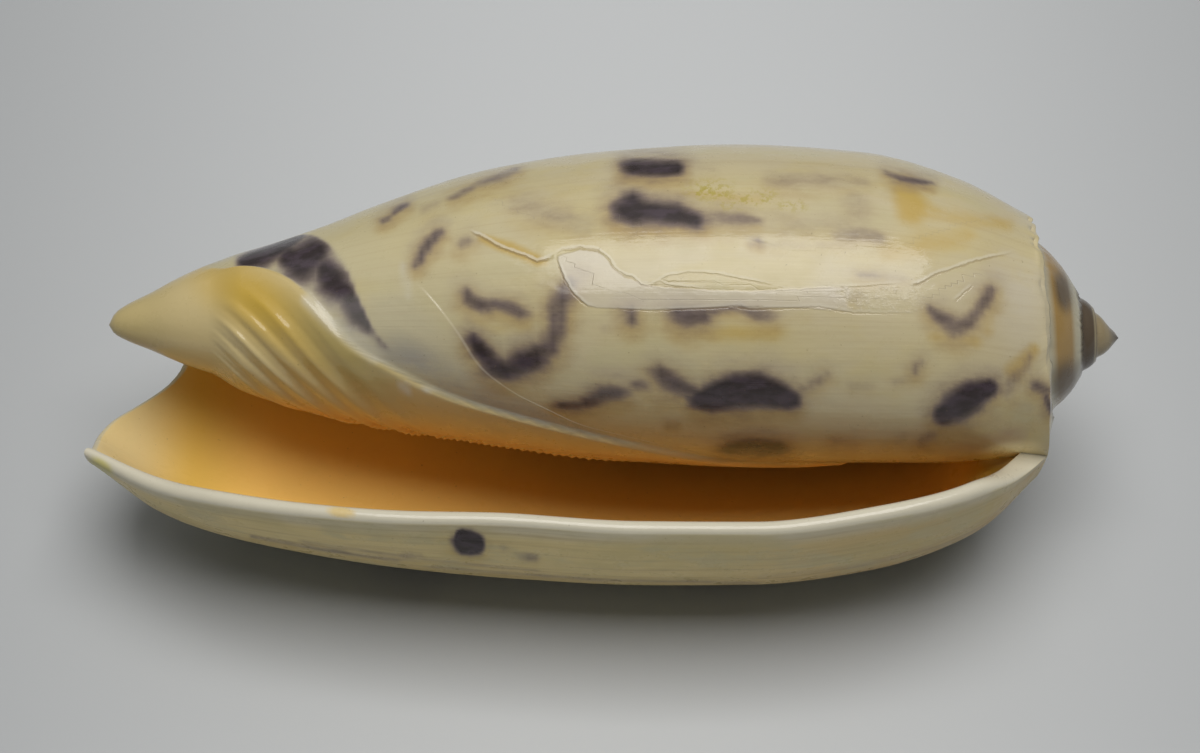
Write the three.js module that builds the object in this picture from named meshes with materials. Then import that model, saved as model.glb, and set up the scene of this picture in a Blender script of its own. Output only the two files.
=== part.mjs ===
// Inflated olive shell, one grown piece, in millimetres with Z up.
// It lies on the back of its body whorl with the aperture turned up and to the front (-Y).
// The spire points along +X. x runs along the coiling axis and r is the distance from it.
// The wall is one spiral sheet, followed from the outer lip back into the shell.
import * as THREE from 'three';

// Angles are in degrees. Column 0 is the outer lip and columns grow backwards along the spiral.
const COLUMN_STEP = 7.5;
const ROW_COUNT = 26;
const FRONT_ROWS = 12; // rows that share the anterior end, where the folds are
const FRONT_SHARE = 0.34;
const RIM_STEPS = 3;
const TURN = 360;
const LIP_DIRECTION = 94; // from straight down, round towards the front
const NOTCH_END = 187.5; // where the edge of the siphonal notch runs into the columella
const CAVITY_END = 247.5; // how far back from the lip the inner space is hollow
const CAVITY_CLOSE = 22.5; // length of the blind end of the inner space
const SPIRE_END = 1650; // last column of the spire before its tip
const FLAT_DEPTH = 0.3; // height of the shell worn away to make the resting flat
// The flat is a triangle with corners at [x, y], and the worn shell round it rises gently away.
const FLAT_CORNERS = [[-0.62, 2.06], [2.82, -2.55], [8.3, 2.06]];
const FLAT_RISE = 0.15; // per unit of distance
const FLAT_RISE_END = 0.42; // the height at which the worn part ends
const COLUMELLA_TIP_X = -24.15;
const SPIRE_TIP_X = 25.1;
const RIM_ROUNDING = 0.45;
const KNOT_ROWS = [0, 0.1, 0.2, 0.3, 0.4, 0.5, 0.6, 0.7, 0.8, 0.9, 1];

// The anterior margin, [column, x, r]: the notch's free edge, then the collar of the columella.
const ANTERIOR_EDGE = [
  [0, -24.9, 6.8], [30, -24.9, 6.7], [44, -24.9, 6.5], [60, -24.85, 6.3], [74, -24.3, 6.0],
  [84, -23.4, 5.9], [94, -22.4, 5.9], [102, -21.5, 5.7], [111, -20.9, 5.45], [120, -20.65, 5.2],
  [134, -20.4, 4.8], [160, -19.8, 4.05], [187.5, -19.1, 3.33], [224, -19.1, 3.1],
  [314, -19.1, 2.65], [360, -19.1, 2.45], [404, -19.1, 2.3], [494, -19.1, 2.3],
  [547.5, -19.1, 2.45], [607.5, -15.5, 3.2],
];

// The outer face of the wall at rows 1 to 10 of each column, [x, r] from anterior to posterior.
const OUTER_PROFILES = {
  0: [[-21.6, 8.8], [-18.6, 10.1], [-14.3, 11.1], [-9.6, 11.8], [-3.9, 12.2],
    [1.7, 12.55], [7.3, 12.5], [12.9, 11.6], [18.0, 9.7], [21.5, 6.1]],
  44: [[-21.6, 9.05], [-19.0, 10.0], [-14.8, 10.9], [-10.0, 11.6], [-4.1, 12.1],
    [1.8, 12.3], [7.4, 12.2], [13.1, 11.45], [18.1, 9.6], [21.1, 6.9]],
  134: [[-19.6, 5.35], [-18.3, 6.1], [-15.7, 7.1], [-11.4, 8.4], [-5.95, 9.65],
    [0.5, 10.4], [7.0, 10.6], [12.8, 10.05], [17.5, 8.6], [20.6, 6.7]],
  224: [[-18.0, 3.5], [-16.5, 3.97], [-13.85, 4.9], [-10.2, 6.35], [-5.56, 7.85],
    [0.3, 8.8], [6.6, 9.2], [12.5, 8.9], [17.1, 7.7], [20.4, 6.05]],
  314: [[-18.0, 3.05], [-16.5, 3.6], [-13.85, 4.4], [-10.2, 5.4], [-5.56, 6.55],
    [0.3, 7.4], [6.6, 7.7], [12.5, 7.55], [17.1, 6.9], [20.7, 5.65]],
  360: [[-18.0, 2.85], [-16.5, 3.4], [-13.7, 4.05], [-9.9, 4.85], [-5.1, 5.8],
    [0.8, 6.65], [7.1, 7.0], [12.5, 7.0], [16.9, 6.75], [20.2, 5.95]],
  404: [[-18.0, 2.75], [-16.3, 3.35], [-13.7, 3.95], [-9.9, 4.6], [-5.1, 5.35],
    [0.8, 6.0], [7.1, 6.25], [12.0, 6.15], [15.9, 6.1], [18.8, 5.8]],
  494: [[-17.9, 2.6], [-16.2, 3.0], [-13.6, 3.5], [-9.7, 3.95], [-5.1, 4.45],
    [0.8, 5.0], [6.6, 5.2], [11.5, 5.15], [15.2, 5.0], [17.9, 4.9]],
  607.5: [[-14.5, 3.3], [-13.0, 3.35], [-11.0, 3.4], [-8.0, 3.5], [-4.5, 3.7],
    [0.8, 3.95], [6.0, 4.05], [10.5, 4.05], [14.0, 4.0], [16.5, 3.9]],
};

// The inner face of the wall at rows 1 to 9. Rows 0 and 10 come from the faces it meets.
const INNER_PROFILES = {
  0: [[-21.1, 8.15], [-18.2, 9.35], [-14.1, 10.35], [-9.5, 11.05], [-3.9, 11.45],
    [1.7, 11.8], [7.2, 11.75], [12.5, 10.85], [17.2, 9.1]],
  44: [[-21.2, 8.0], [-18.7, 8.9], [-14.6, 9.8], [-9.9, 10.5], [-4.1, 11.0],
    [1.8, 11.15], [7.3, 11.05], [12.6, 10.35], [16.8, 8.7]],
  134: [[-19.1, 4.5], [-17.8, 5.1], [-15.4, 6.05], [-11.1, 7.3], [-5.8, 8.5],
    [0.5, 9.25], [6.9, 9.4], [12.2, 8.9], [16.2, 7.5]],
  187.5: [[-18.0, 3.3], [-16.6, 3.95], [-14.2, 4.8], [-10.3, 6.05], [-5.5, 7.3],
    [0.5, 8.2], [6.7, 8.5], [12.0, 8.1], [15.8, 6.9]],
  225: [[-16.0, 3.35], [-14.4, 3.85], [-12.4, 4.5], [-9.2, 5.6], [-5.2, 6.8],
    [0.5, 7.65], [6.5, 8.0], [11.4, 7.7], [15.0, 6.5]],
};
const NOTCH_RIM = [0.45, -0.86]; // from the outer to the inner edge along the notch, [x, r]

// How far back the lip's edge lies at each row, and the part of it the shell below shares.
const LIP_LEAN = [27, 19, 12, 8.5, 6, 4, 4, 4, 4, 6, 25];
const LIP_END_LEAN = [0, 0, 0, 0, 0, 0, 0, 0, 0, 2, 25];
const LEAN_REACH = 60;

// The edge of the whorls along the sutural channel, [column, x, r].
const SUTURE = [
  [0, 21.5, 6.1], [44, 21.5, 6.0], [134, 21.1, 6.05], [224, 20.78, 5.85], [314, 21.25, 5.15],
  [360, 21.6, 4.65], [404, 21.9, 4.1], [584, 23.0, 2.25], [764, 23.3, 1.85], [944, 23.8, 1.5],
  [1124, 24.0, 1.15], [1304, 24.4, 0.8], [1484, 24.65, 0.55], [1650, 24.9, 0.3],
];
// The band of an older whorl left bare between two sutures, [share of its width, height above].
const BARE_BAND = [[0, 0], [0.08, -0.42], [0.2, -0.44], [0.45, -0.16], [0.75, 0.02], [1, 0]];
const BAND_WIDTH = 4.2; // width the heights above are given for
const BAND_STEPS = BARE_BAND.length - 1;
// The columella's tip, [x, share of the collar's radius].
const TIP_PROFILE = [
  [-19.8, 0.91], [-20.9, 0.74], [-22.1, 0.52], [-23.3, 0.32], [-23.9, 0.17],
];

// Raised folds of callus that wind over the columella, and the step where the callus ends.
const FOLD_COLUMN = 340; // the column each fold's place is given at
const FOLD_SLOPE = 0.068;
const FOLDS = [
  { x: -19.2, height: 0.10, width: 0.45 },
  { x: -17.8, height: 0.14, width: 0.45 },
  { x: -16.4, height: 0.16, width: 0.45 },
  { x: -15.0, height: 0.14, width: 0.45 },
  { x: -13.6, height: 0.16, width: 0.5 },
  { x: -11.9, height: 0.08, width: 0.5 },
];
const CALLUS_EDGE = [
  [200, -21], [250, -18.7], [265, -16.7], [282, -15.1], [306, -13.4], [325, -12.0],
  [337, -9.95], [349, -7.5], [370, 1.8], [404, 12],
];
const CALLUS_RAISE = 0.22;

const radians = (degrees) => degrees * Math.PI / 180;
const mix = (a, b, share) => a + (b - a) * share;

function smooth(low, high, value) {
  const share = Math.min(1, Math.max(0, (value - low) / (high - low)));
  return share * share * (3 - 2 * share);
}

// A cubic through the knots that never swings past them.
function curve(knots, values, at) {
  const last = knots.length - 1;
  let i = 0;
  while (i < last - 1 && at >= knots[i + 1]) i += 1;
  const slope = (n) => (values[n + 1] - values[n]) / (knots[n + 1] - knots[n]);
  const tangent = (n) => {
    if (n === 0) return slope(0);
    if (n === last) return slope(last - 1);
    const before = slope(n - 1);
    const after = slope(n);
    if (before * after <= 0) return 0;
    const a = knots[n] - knots[n - 1];
    const b = knots[n + 1] - knots[n];
    return 3 * (a + b) / ((2 * b + a) / before + (b + 2 * a) / after);
  };
  const span = knots[i + 1] - knots[i];
  const t = (at - knots[i]) / span;
  const s = 1 - t;
  return (1 + 2 * t) * s * s * values[i] + t * s * s * span * tangent(i)
    + t * t * (3 - 2 * t) * values[i + 1] - t * t * s * span * tangent(i + 1);
}

function along(entries, column) {
  const knots = entries.map((entry) => entry[0]);
  return [
    curve(knots, entries.map((entry) => entry[1]), column),
    Math.exp(curve(knots, entries.map((entry) => Math.log(entry[2])), column)),
  ];
}

function fromProfiles(profiles, row, column) {
  const keys = Object.keys(profiles).map(Number).sort((a, b) => a - b);
  return along(keys.map((key) => [key, ...profiles[key][row - 1]]), column);
}

function acrossRows(points, row) {
  return [
    curve(KNOT_ROWS, points.map((point) => point[0]), row),
    curve(KNOT_ROWS, points.map((point) => point[1]), row),
  ];
}

const remembered = new Map();
function remember(key, make) {
  if (!remembered.has(key)) remembered.set(key, make());
  return remembered.get(key);
}

function outerKnots(column) {
  return remember(`outer ${column}`, () => {
    const points = [along(ANTERIOR_EDGE, column)];
    for (let row = 1; row <= 10; row += 1) points.push(fromProfiles(OUTER_PROFILES, row, column));
    return points;
  });
}

// Height of the callus and its folds above the wall at a column and a place along the axis.
function callus(column, x) {
  if (column < 200 || column > 470) return 0;
  const fade = smooth(205, 235, column) * (1 - smooth(420, 465, column));
  const edge = curve(CALLUS_EDGE.map((e) => e[0]), CALLUS_EDGE.map((e) => e[1]), Math.min(column, 404));
  let height = CALLUS_RAISE * (1 - smooth(-0.5, 0.4, x - edge)) * smooth(-19.1, -17.5, x);
  for (const fold of FOLDS) {
    const away = (x - fold.x - (column - FOLD_COLUMN) * FOLD_SLOPE) / fold.width;
    const rise = smooth(275, 320, column) * smooth(-19.1, -18.0, x) * (1 - smooth(-9, -5, x));
    height += fold.height * rise * Math.exp(-away * away);
  }
  return height * fade;
}

function outer(column, row) {
  const [x, r] = acrossRows(outerKnots(column), row);
  return [x, r + callus(column, x)];
}

function outerAngle(column, row) {
  const lip = 1 - smooth(0, LEAN_REACH, column);
  const under = smooth(TURN - LEAN_REACH, TURN, column) - smooth(TURN, TURN + LEAN_REACH, column);
  const lean = curve(KNOT_ROWS, LIP_LEAN, row) * lip + curve(KNOT_ROWS, LIP_END_LEAN, row) * under;
  return LIP_DIRECTION - column - lean;
}

function notchInner(column) {
  if (column >= NOTCH_END) return outer(column + TURN, 0);
  const [x, r] = outer(column, 0);
  const end = outer(NOTCH_END + TURN, 0);
  const start = outer(NOTCH_END, 0);
  const share = smooth(130, NOTCH_END, column);
  return [
    x + mix(NOTCH_RIM[0], end[0] - start[0], share),
    r + mix(NOTCH_RIM[1], end[1] - start[1], share),
  ];
}

function inner(column, row) {
  if (column >= CAVITY_END) return outer(column + TURN, row);
  const points = remember(`inner ${column}`, () => {
    const made = [notchInner(column)];
    const close = smooth(CAVITY_END - CAVITY_CLOSE, CAVITY_END, column);
    for (let knot = 1; knot <= 9; knot += 1) {
      const open = fromProfiles(INNER_PROFILES, knot, Math.min(column, 225));
      const shut = outer(column + TURN, KNOT_ROWS[knot]);
      made.push([mix(open[0], shut[0], close), mix(open[1], shut[1], close)]);
    }
    made.push(outer(column + TURN, 1));
    return made;
  });
  return acrossRows(points, row);
}

function place(x, r, angle) {
  const a = radians(angle);
  return [x, -r * Math.sin(a), -r * Math.cos(a)];
}

const outerPoint = (column, row) => place(...outer(column, row), outerAngle(column, row));
const innerPoint = (column, row) => place(...inner(column, row), outerAngle(column, row));

// The rounded rim between the outer and inner faces, along the lip and round the notch.
function rim(column, row, share) {
  const [x0, r0] = outer(column, row);
  const [x1, r1] = inner(column, row);
  const thick = Math.hypot(x1 - x0, r1 - r0);
  const swell = Math.sin(Math.PI * share) * RIM_ROUNDING * thick;
  const ahead = swell * (1 - smooth(0, 12, column)) * (1 - smooth(0.9, 1, row));
  const forward = swell * (1 - smooth(0, 0.06, row)) * (1 - smooth(150, NOTCH_END, column));
  const x = mix(x0, x1, share) - forward * (r0 - r1) / thick;
  const r = mix(r0, r1, share) - forward * (x1 - x0) / thick;
  return place(x, r, outerAngle(column, row) + ahead / r * 180 / Math.PI);
}

function sutureKnot(column) {
  const [x, r] = along(SUTURE, column);
  return [x, r, LIP_DIRECTION - column - LIP_END_LEAN[10] * (1 - smooth(0, LEAN_REACH, column))];
}

// The shoulder from the last row of the wall to the suture, and the bare bands of the spire.
// Steps 0 to RIM_STEPS lie under the end of the lip and the rest run to the suture.
function shoulder(column, step) {
  const end = sutureKnot(column);
  if (column <= TURN && step <= RIM_STEPS) {
    const [x, r] = outer(column, 1);
    const angle = outerAngle(column, 1);
    const lipEnd = sutureKnot(0);
    const atLip = smooth(300, TURN, column);
    const share = 0.5 * step / RIM_STEPS;
    const swell = 0.1 * Math.hypot(end[0] - x, end[1] - r) * Math.sin(Math.PI * share);
    const plain = [mix(x, end[0], share), mix(r, end[1], share) + swell];
    const foot = step / RIM_STEPS;
    const under = [mix(x, lipEnd[0], foot), mix(r, lipEnd[1], foot)];
    const turned = mix(angle, end[2], share * (1 - atLip));
    return [mix(plain[0], under[0], atLip), mix(plain[1], under[1], atLip), turned];
  }
  const start = column <= TURN ? shoulder(column, RIM_STEPS) : sutureKnot(column - TURN);
  if (column > TURN) start[2] -= TURN;
  const [share, height] = BARE_BAND[step - RIM_STEPS];
  const wide = Math.hypot(end[0] - start[0], end[1] - start[1]) + 1e-9;
  const depth = height * smooth(330, 385, column) * wide / BAND_WIDTH;
  return [
    mix(start[0], end[0], share) - depth * (end[1] - start[1]) / wide,
    mix(start[1], end[1], share) + depth * (end[0] - start[0]) / wide,
    mix(start[2], end[2], share),
  ];
}

const positions = [];
const indices = [];
const seen = new Map();

function vertex(point) {
  const key = point.map((value) => Math.round(value * 2000)).join(' ');
  if (!seen.has(key)) {
    seen.set(key, positions.length);
    positions.push(point);
  }
  return seen.get(key);
}

function triangle(a, b, c) {
  if (a !== b && b !== c && c !== a) indices.push(a, b, c);
}

function quad(a, b, c, d) {
  const [p, q, s, t] = [a, b, c, d].map(vertex);
  triangle(p, q, s);
  triangle(p, s, t);
}

const columnAt = (i) => i * COLUMN_STEP;
const rowAt = (j) => (j < FRONT_ROWS
  ? FRONT_SHARE * j / FRONT_ROWS
  : mix(FRONT_SHARE, 1, (j - FRONT_ROWS) / (ROW_COUNT - FRONT_ROWS)));
const turnColumns = TURN / COLUMN_STEP;
const notchColumns = NOTCH_END / COLUMN_STEP;
const cavityColumns = CAVITY_END / COLUMN_STEP;

// Outer face of the wall, on past one turn to the floor of the aperture.
for (let i = 0; i < turnColumns + cavityColumns; i += 1) {
  for (let j = 0; j < ROW_COUNT; j += 1) {
    const at = (di, dj) => outerPoint(columnAt(i + di), rowAt(j + dj));
    quad(at(0, 0), at(1, 0), at(1, 1), at(0, 1));
  }
}

// Inner face of the wall.
for (let i = 0; i < cavityColumns; i += 1) {
  for (let j = 0; j < ROW_COUNT; j += 1) {
    const at = (di, dj) => innerPoint(columnAt(i + di), rowAt(j + dj));
    quad(at(0, 1), at(1, 1), at(1, 0), at(0, 0));
  }
}

// Rim of the outer lip, then of the notch.
for (let k = 0; k < RIM_STEPS; k += 1) {
  for (let j = 0; j < ROW_COUNT; j += 1) {
    const at = (dk, dj) => rim(0, rowAt(j + dj), (k + dk) / RIM_STEPS);
    quad(at(0, 0), at(0, 1), at(1, 1), at(1, 0));
  }
  for (let i = 0; i < notchColumns; i += 1) {
    const at = (di, dk) => rim(columnAt(i + di), 0, (k + dk) / RIM_STEPS);
    quad(at(1, 0), at(0, 0), at(0, 1), at(1, 1));
  }
}

// Tip of the columella, closed from its collar.
const collar = [];
for (let i = notchColumns + turnColumns; i >= notchColumns; i -= 1) {
  collar.push([...outer(columnAt(i), 0), outerAngle(columnAt(i), 0)]);
}
for (let k = 1; k <= RIM_STEPS; k += 1) {
  const r = mix(outer(NOTCH_END, 0)[1], outer(NOTCH_END + TURN, 0)[1], k / RIM_STEPS);
  collar.push([outer(NOTCH_END, 0)[0], r, outerAngle(NOTCH_END, 0)]);
}
const tipRings = [collar.map((point) => place(...point))];
for (const [x, share] of TIP_PROFILE) {
  tipRings.push(collar.map((point) => place(x, point[1] * share, point[2])));
}
tipRings.push(collar.map(() => [COLUMELLA_TIP_X, 0, 0]));
for (let m = 0; m < tipRings.length - 1; m += 1) {
  for (let n = 0; n < collar.length - 1; n += 1) {
    quad(tipRings[m][n], tipRings[m][n + 1], tipRings[m + 1][n + 1], tipRings[m + 1][n]);
  }
}

// Shoulder, sutural channel and spire.
const spireColumns = SPIRE_END / COLUMN_STEP;
for (let i = 0; i < spireColumns; i += 1) {
  const first = i < turnColumns ? 0 : RIM_STEPS;
  for (let step = first; step < RIM_STEPS + BAND_STEPS; step += 1) {
    const at = (di, ds) => place(...shoulder(columnAt(i + di), step + ds));
    quad(at(0, 0), at(1, 0), at(1, 1), at(0, 1));
  }
}
const spireRing = [];
for (let i = spireColumns - turnColumns; i <= spireColumns; i += 1) {
  spireRing.push(place(...sutureKnot(columnAt(i))));
}
for (let step = RIM_STEPS + BAND_STEPS - 1; step >= RIM_STEPS; step -= 1) {
  spireRing.push(place(...shoulder(SPIRE_END, step)));
}
const spireTip = vertex([SPIRE_TIP_X, 0, 0]);
for (let n = 0; n < spireRing.length - 1; n += 1) {
  triangle(vertex(spireRing[n]), vertex(spireRing[n + 1]), spireTip);
}

// How far a place lies outside the resting flat's triangle.
function outsideFlat([x, y]) {
  const sides = FLAT_CORNERS.map(([x0, y0], n) => {
    const [x1, y1] = FLAT_CORNERS[(n + 1) % FLAT_CORNERS.length];
    return ((y1 - y0) * (x - x0) - (x1 - x0) * (y - y0)) / Math.hypot(x1 - x0, y1 - y0);
  });
  return Math.max(0, ...sides);
}

// Worn resting flat, then the origin at the middle of the bounding box's underside.
const lowest = Math.min(...positions.map((point) => point[2])) + FLAT_DEPTH;
const middle = [0, 1].map((axis) => {
  const values = positions.map((point) => point[axis]);
  return (Math.min(...values) + Math.max(...values)) / 2;
});
const settled = positions.map(([x, y, z]) => {
  const at = [x - middle[0], y - middle[1]];
  const worn = Math.min(FLAT_RISE * outsideFlat(at), FLAT_RISE_END);
  return [...at, Math.max(z - lowest, worn)];
});

const geometry = new THREE.BufferGeometry();
geometry.setAttribute('position', new THREE.Float32BufferAttribute(settled.flat(), 3));
geometry.setIndex(indices);
geometry.computeVertexNormals();
const material = new THREE.MeshStandardMaterial({ color: 0xd9cda8, roughness: 0.3 });
const shell = new THREE.Mesh(geometry, material);
shell.name = 'shell';

const group = new THREE.Group();
group.name = 'inflated_olive_shell';
group.add(shell);

export default group;
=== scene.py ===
"""Inflated olive shell: its fine surface, markings, gloss and wear, on a pale floor."""
import math

import bpy
import numpy as np
from mathutils import Matrix


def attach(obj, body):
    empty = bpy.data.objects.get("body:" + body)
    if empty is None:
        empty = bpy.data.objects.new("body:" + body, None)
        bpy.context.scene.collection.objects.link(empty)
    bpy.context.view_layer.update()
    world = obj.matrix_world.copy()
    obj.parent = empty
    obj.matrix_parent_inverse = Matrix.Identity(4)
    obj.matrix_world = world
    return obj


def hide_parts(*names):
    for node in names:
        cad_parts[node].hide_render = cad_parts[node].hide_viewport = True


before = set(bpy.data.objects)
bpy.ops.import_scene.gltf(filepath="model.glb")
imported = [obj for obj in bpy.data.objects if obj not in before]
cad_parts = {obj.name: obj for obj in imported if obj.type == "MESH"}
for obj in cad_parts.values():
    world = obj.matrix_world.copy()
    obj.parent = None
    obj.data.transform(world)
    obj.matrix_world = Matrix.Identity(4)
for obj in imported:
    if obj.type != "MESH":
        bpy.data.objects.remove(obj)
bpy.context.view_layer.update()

# Shape of the shell, in millimetres and degrees, with the same values as the part's source.
# Column 0 is the outer lip, and columns grow backwards along the spiral.
TURN = 360.0
LIP_DIRECTION = 94.0
NOTCH_END = 187.5
CAVITY_END = 247.5
CAVITY_CLOSE = 22.5
SPIRE_END = 1650.0
COLUMELLA_TIP_X = -24.15
SPIRE_TIP_X = 25.1
RIM_ROUNDING = 0.45
FLAT_CORNERS = [(-0.62, 2.06), (2.82, -2.55), (8.3, 2.06)]  # the small worn spot it rests on
FLAT_RISE = 0.15
FLAT_RISE_END = 0.42
AXIS_AT = np.array([-0.0074, 1.3539, 11.1242])  # where the coiling axis lies in the frame
KNOT_ROWS = np.linspace(0, 1, 11)
ANTERIOR_EDGE = [
    (0, -24.9, 6.8), (30, -24.9, 6.7), (44, -24.9, 6.5), (60, -24.85, 6.3), (74, -24.3, 6.0),
    (84, -23.4, 5.9), (94, -22.4, 5.9), (102, -21.5, 5.7), (111, -20.9, 5.45), (120, -20.65, 5.2),
    (134, -20.4, 4.8), (160, -19.8, 4.05), (187.5, -19.1, 3.33), (224, -19.1, 3.1),
    (314, -19.1, 2.65), (360, -19.1, 2.45), (404, -19.1, 2.3), (494, -19.1, 2.3),
    (547.5, -19.1, 2.45), (607.5, -15.5, 3.2),
]
OUTER_PROFILES = {
    0: [(-21.6, 8.8), (-18.6, 10.1), (-14.3, 11.1), (-9.6, 11.8), (-3.9, 12.2),
        (1.7, 12.55), (7.3, 12.5), (12.9, 11.6), (18.0, 9.7), (21.5, 6.1)],
    44: [(-21.6, 9.05), (-19.0, 10.0), (-14.8, 10.9), (-10.0, 11.6), (-4.1, 12.1),
         (1.8, 12.3), (7.4, 12.2), (13.1, 11.45), (18.1, 9.6), (21.1, 6.9)],
    134: [(-19.6, 5.35), (-18.3, 6.1), (-15.7, 7.1), (-11.4, 8.4), (-5.95, 9.65),
          (0.5, 10.4), (7.0, 10.6), (12.8, 10.05), (17.5, 8.6), (20.6, 6.7)],
    224: [(-18.0, 3.5), (-16.5, 3.97), (-13.85, 4.9), (-10.2, 6.35), (-5.56, 7.85),
          (0.3, 8.8), (6.6, 9.2), (12.5, 8.9), (17.1, 7.7), (20.4, 6.05)],
    314: [(-18.0, 3.05), (-16.5, 3.6), (-13.85, 4.4), (-10.2, 5.4), (-5.56, 6.55),
          (0.3, 7.4), (6.6, 7.7), (12.5, 7.55), (17.1, 6.9), (20.7, 5.65)],
    360: [(-18.0, 2.85), (-16.5, 3.4), (-13.7, 4.05), (-9.9, 4.85), (-5.1, 5.8),
          (0.8, 6.65), (7.1, 7.0), (12.5, 7.0), (16.9, 6.75), (20.2, 5.95)],
    404: [(-18.0, 2.75), (-16.3, 3.35), (-13.7, 3.95), (-9.9, 4.6), (-5.1, 5.35),
          (0.8, 6.0), (7.1, 6.25), (12.0, 6.15), (15.9, 6.1), (18.8, 5.8)],
    494: [(-17.9, 2.6), (-16.2, 3.0), (-13.6, 3.5), (-9.7, 3.95), (-5.1, 4.45),
          (0.8, 5.0), (6.6, 5.2), (11.5, 5.15), (15.2, 5.0), (17.9, 4.9)],
    607.5: [(-14.5, 3.3), (-13.0, 3.35), (-11.0, 3.4), (-8.0, 3.5), (-4.5, 3.7),
            (0.8, 3.95), (6.0, 4.05), (10.5, 4.05), (14.0, 4.0), (16.5, 3.9)],
}
INNER_PROFILES = {
    0: [(-21.1, 8.15), (-18.2, 9.35), (-14.1, 10.35), (-9.5, 11.05), (-3.9, 11.45),
        (1.7, 11.8), (7.2, 11.75), (12.5, 10.85), (17.2, 9.1)],
    44: [(-21.2, 8.0), (-18.7, 8.9), (-14.6, 9.8), (-9.9, 10.5), (-4.1, 11.0),
         (1.8, 11.15), (7.3, 11.05), (12.6, 10.35), (16.8, 8.7)],
    134: [(-19.1, 4.5), (-17.8, 5.1), (-15.4, 6.05), (-11.1, 7.3), (-5.8, 8.5),
          (0.5, 9.25), (6.9, 9.4), (12.2, 8.9), (16.2, 7.5)],
    187.5: [(-18.0, 3.3), (-16.6, 3.95), (-14.2, 4.8), (-10.3, 6.05), (-5.5, 7.3),
            (0.5, 8.2), (6.7, 8.5), (12.0, 8.1), (15.8, 6.9)],
    225: [(-16.0, 3.35), (-14.4, 3.85), (-12.4, 4.5), (-9.2, 5.6), (-5.2, 6.8),
          (0.5, 7.65), (6.5, 8.0), (11.4, 7.7), (15.0, 6.5)],
}
NOTCH_RIM = (0.26, -0.5)  # a finer edge than the plain solid's
LIP_LEAN = [27, 19, 12, 8.5, 6, 4, 4, 4, 4, 6, 25]
LIP_END_LEAN = [0, 0, 0, 0, 0, 0, 0, 0, 0, 2, 25]
LEAN_REACH = 60
SUTURE = [
    (0, 21.5, 6.1), (44, 21.5, 6.0), (134, 21.1, 6.05), (224, 20.78, 5.85), (314, 21.25, 5.15),
    (360, 21.6, 4.65), (404, 21.9, 4.1), (584, 23.0, 2.25), (764, 23.3, 1.85), (944, 23.8, 1.5),
    (1124, 24.0, 1.15), (1304, 24.4, 0.8), (1484, 24.65, 0.55), (1650, 24.9, 0.3),
]
BARE_BAND = [(0, 0), (0.08, -0.42), (0.2, -0.44), (0.45, -0.16), (0.75, 0.02), (1, 0)]
BAND_WIDTH = 4.2
TIP_PROFILE = [
    (-19.1, 1), (-19.8, 0.91), (-20.9, 0.74), (-22.1, 0.52), (-23.3, 0.32), (-23.9, 0.17),
    (-24.15, 0),
]
FOLD_COLUMN = 340.0
FOLD_SLOPE = 0.068
FOLDS = [
    (-19.2, 0.10, 0.4), (-17.8, 0.14, 0.4), (-16.4, 0.16, 0.4), (-15.0, 0.14, 0.4), (-13.6, 0.16, 0.45),
    (-11.9, 0.08, 0.5),
]
CALLUS_EDGE = [
    (200, -21), (250, -18.7), (265, -16.7), (282, -15.1), (306, -13.4), (325, -12.0),
    (337, -9.95), (349, -7.5), (370, 1.8), (404, 12),
]
CALLUS_RAISE = 0.22
WRINKLE_HEIGHT = 0.012  # fine wrinkles between the folds
WRINKLE_PITCH = 0.55
TOOTH_HEIGHT = 0.12  # teeth along the edge above the aperture
TOOTH_PITCH = 0.8
# Nicks in the edge of the whorl beside the sutural channel: column, depth, width.
NICKS = [
    (150, 0.35, 5), (196, 0.25, 4), (227, 0.45, 3.5), (240, 0.55, 3), (252, 0.3, 3), (263, 0.5, 4),
    (288, 0.2, 3), (322, 0.3, 4), (343, 0.35, 5),
]
CHIP_DEPTH = 0.07
# The upper border of the banded zone round the front end.
BAND_EDGE = [
    (110, -20.9), (150, -19.0), (187.5, -17.2), (224, -15.0), (251, -13.7), (278.5, -12.4),
    (309.5, -11.3), (323, -10.4), (341, -8.5), (349, -5.1), (355, -2.1), (370, 1.8), (404, 12),
]

# How finely the surface is divided.
FINE_STEP = 1.25
COARSE_STEP = 3.75
FINE_FROM = 228.75
FINE_TO = 60.0
ROW_COUNT = 166
FRONT_ROWS = 68
FRONT_SHARE = 0.34
RIM_STEPS = 8
BAND_STEPS = 12
TIP_STEPS = 14
WELD = 0.0005
SHARP_ANGLE = math.radians(55)

# The photograph's camera: its framing, its distance, its height as an angle and its aim.
PHOTO_WIDTH = 1200.0
PHOTO_HEIGHT = 753.0
PIXELS_PER_MM = 20.5
CAMERA_DISTANCE = 210.0
CAMERA_ELEVATION = math.radians(50)
CAMERA_ROLL = math.radians(-0.74)
AIM_X = -0.195
AIM_BELOW_AXIS = 2.205
SENSOR_WIDTH = 36.0


def smooth(low, high, value):
    share = np.clip((np.asarray(value, float) - low) / (high - low), 0, 1)
    return share * share * (3 - 2 * share)


def between(a, b, c, d, value):
    """1 from b to c, falling to 0 at a and d."""
    return smooth(a, b, value) * (1 - smooth(c, d, value))


def mix(a, b, share):
    return a + (b - a) * share


def eased(step):
    """Share of the way across a rounded rim after a number of its steps."""
    return (1 - np.cos(np.pi * step / RIM_STEPS)) / 2


def band_share(step):
    """Share of the way across the bare band beside the suture after a number of steps."""
    return ((step - RIM_STEPS) / BAND_STEPS) ** 1.5


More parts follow.
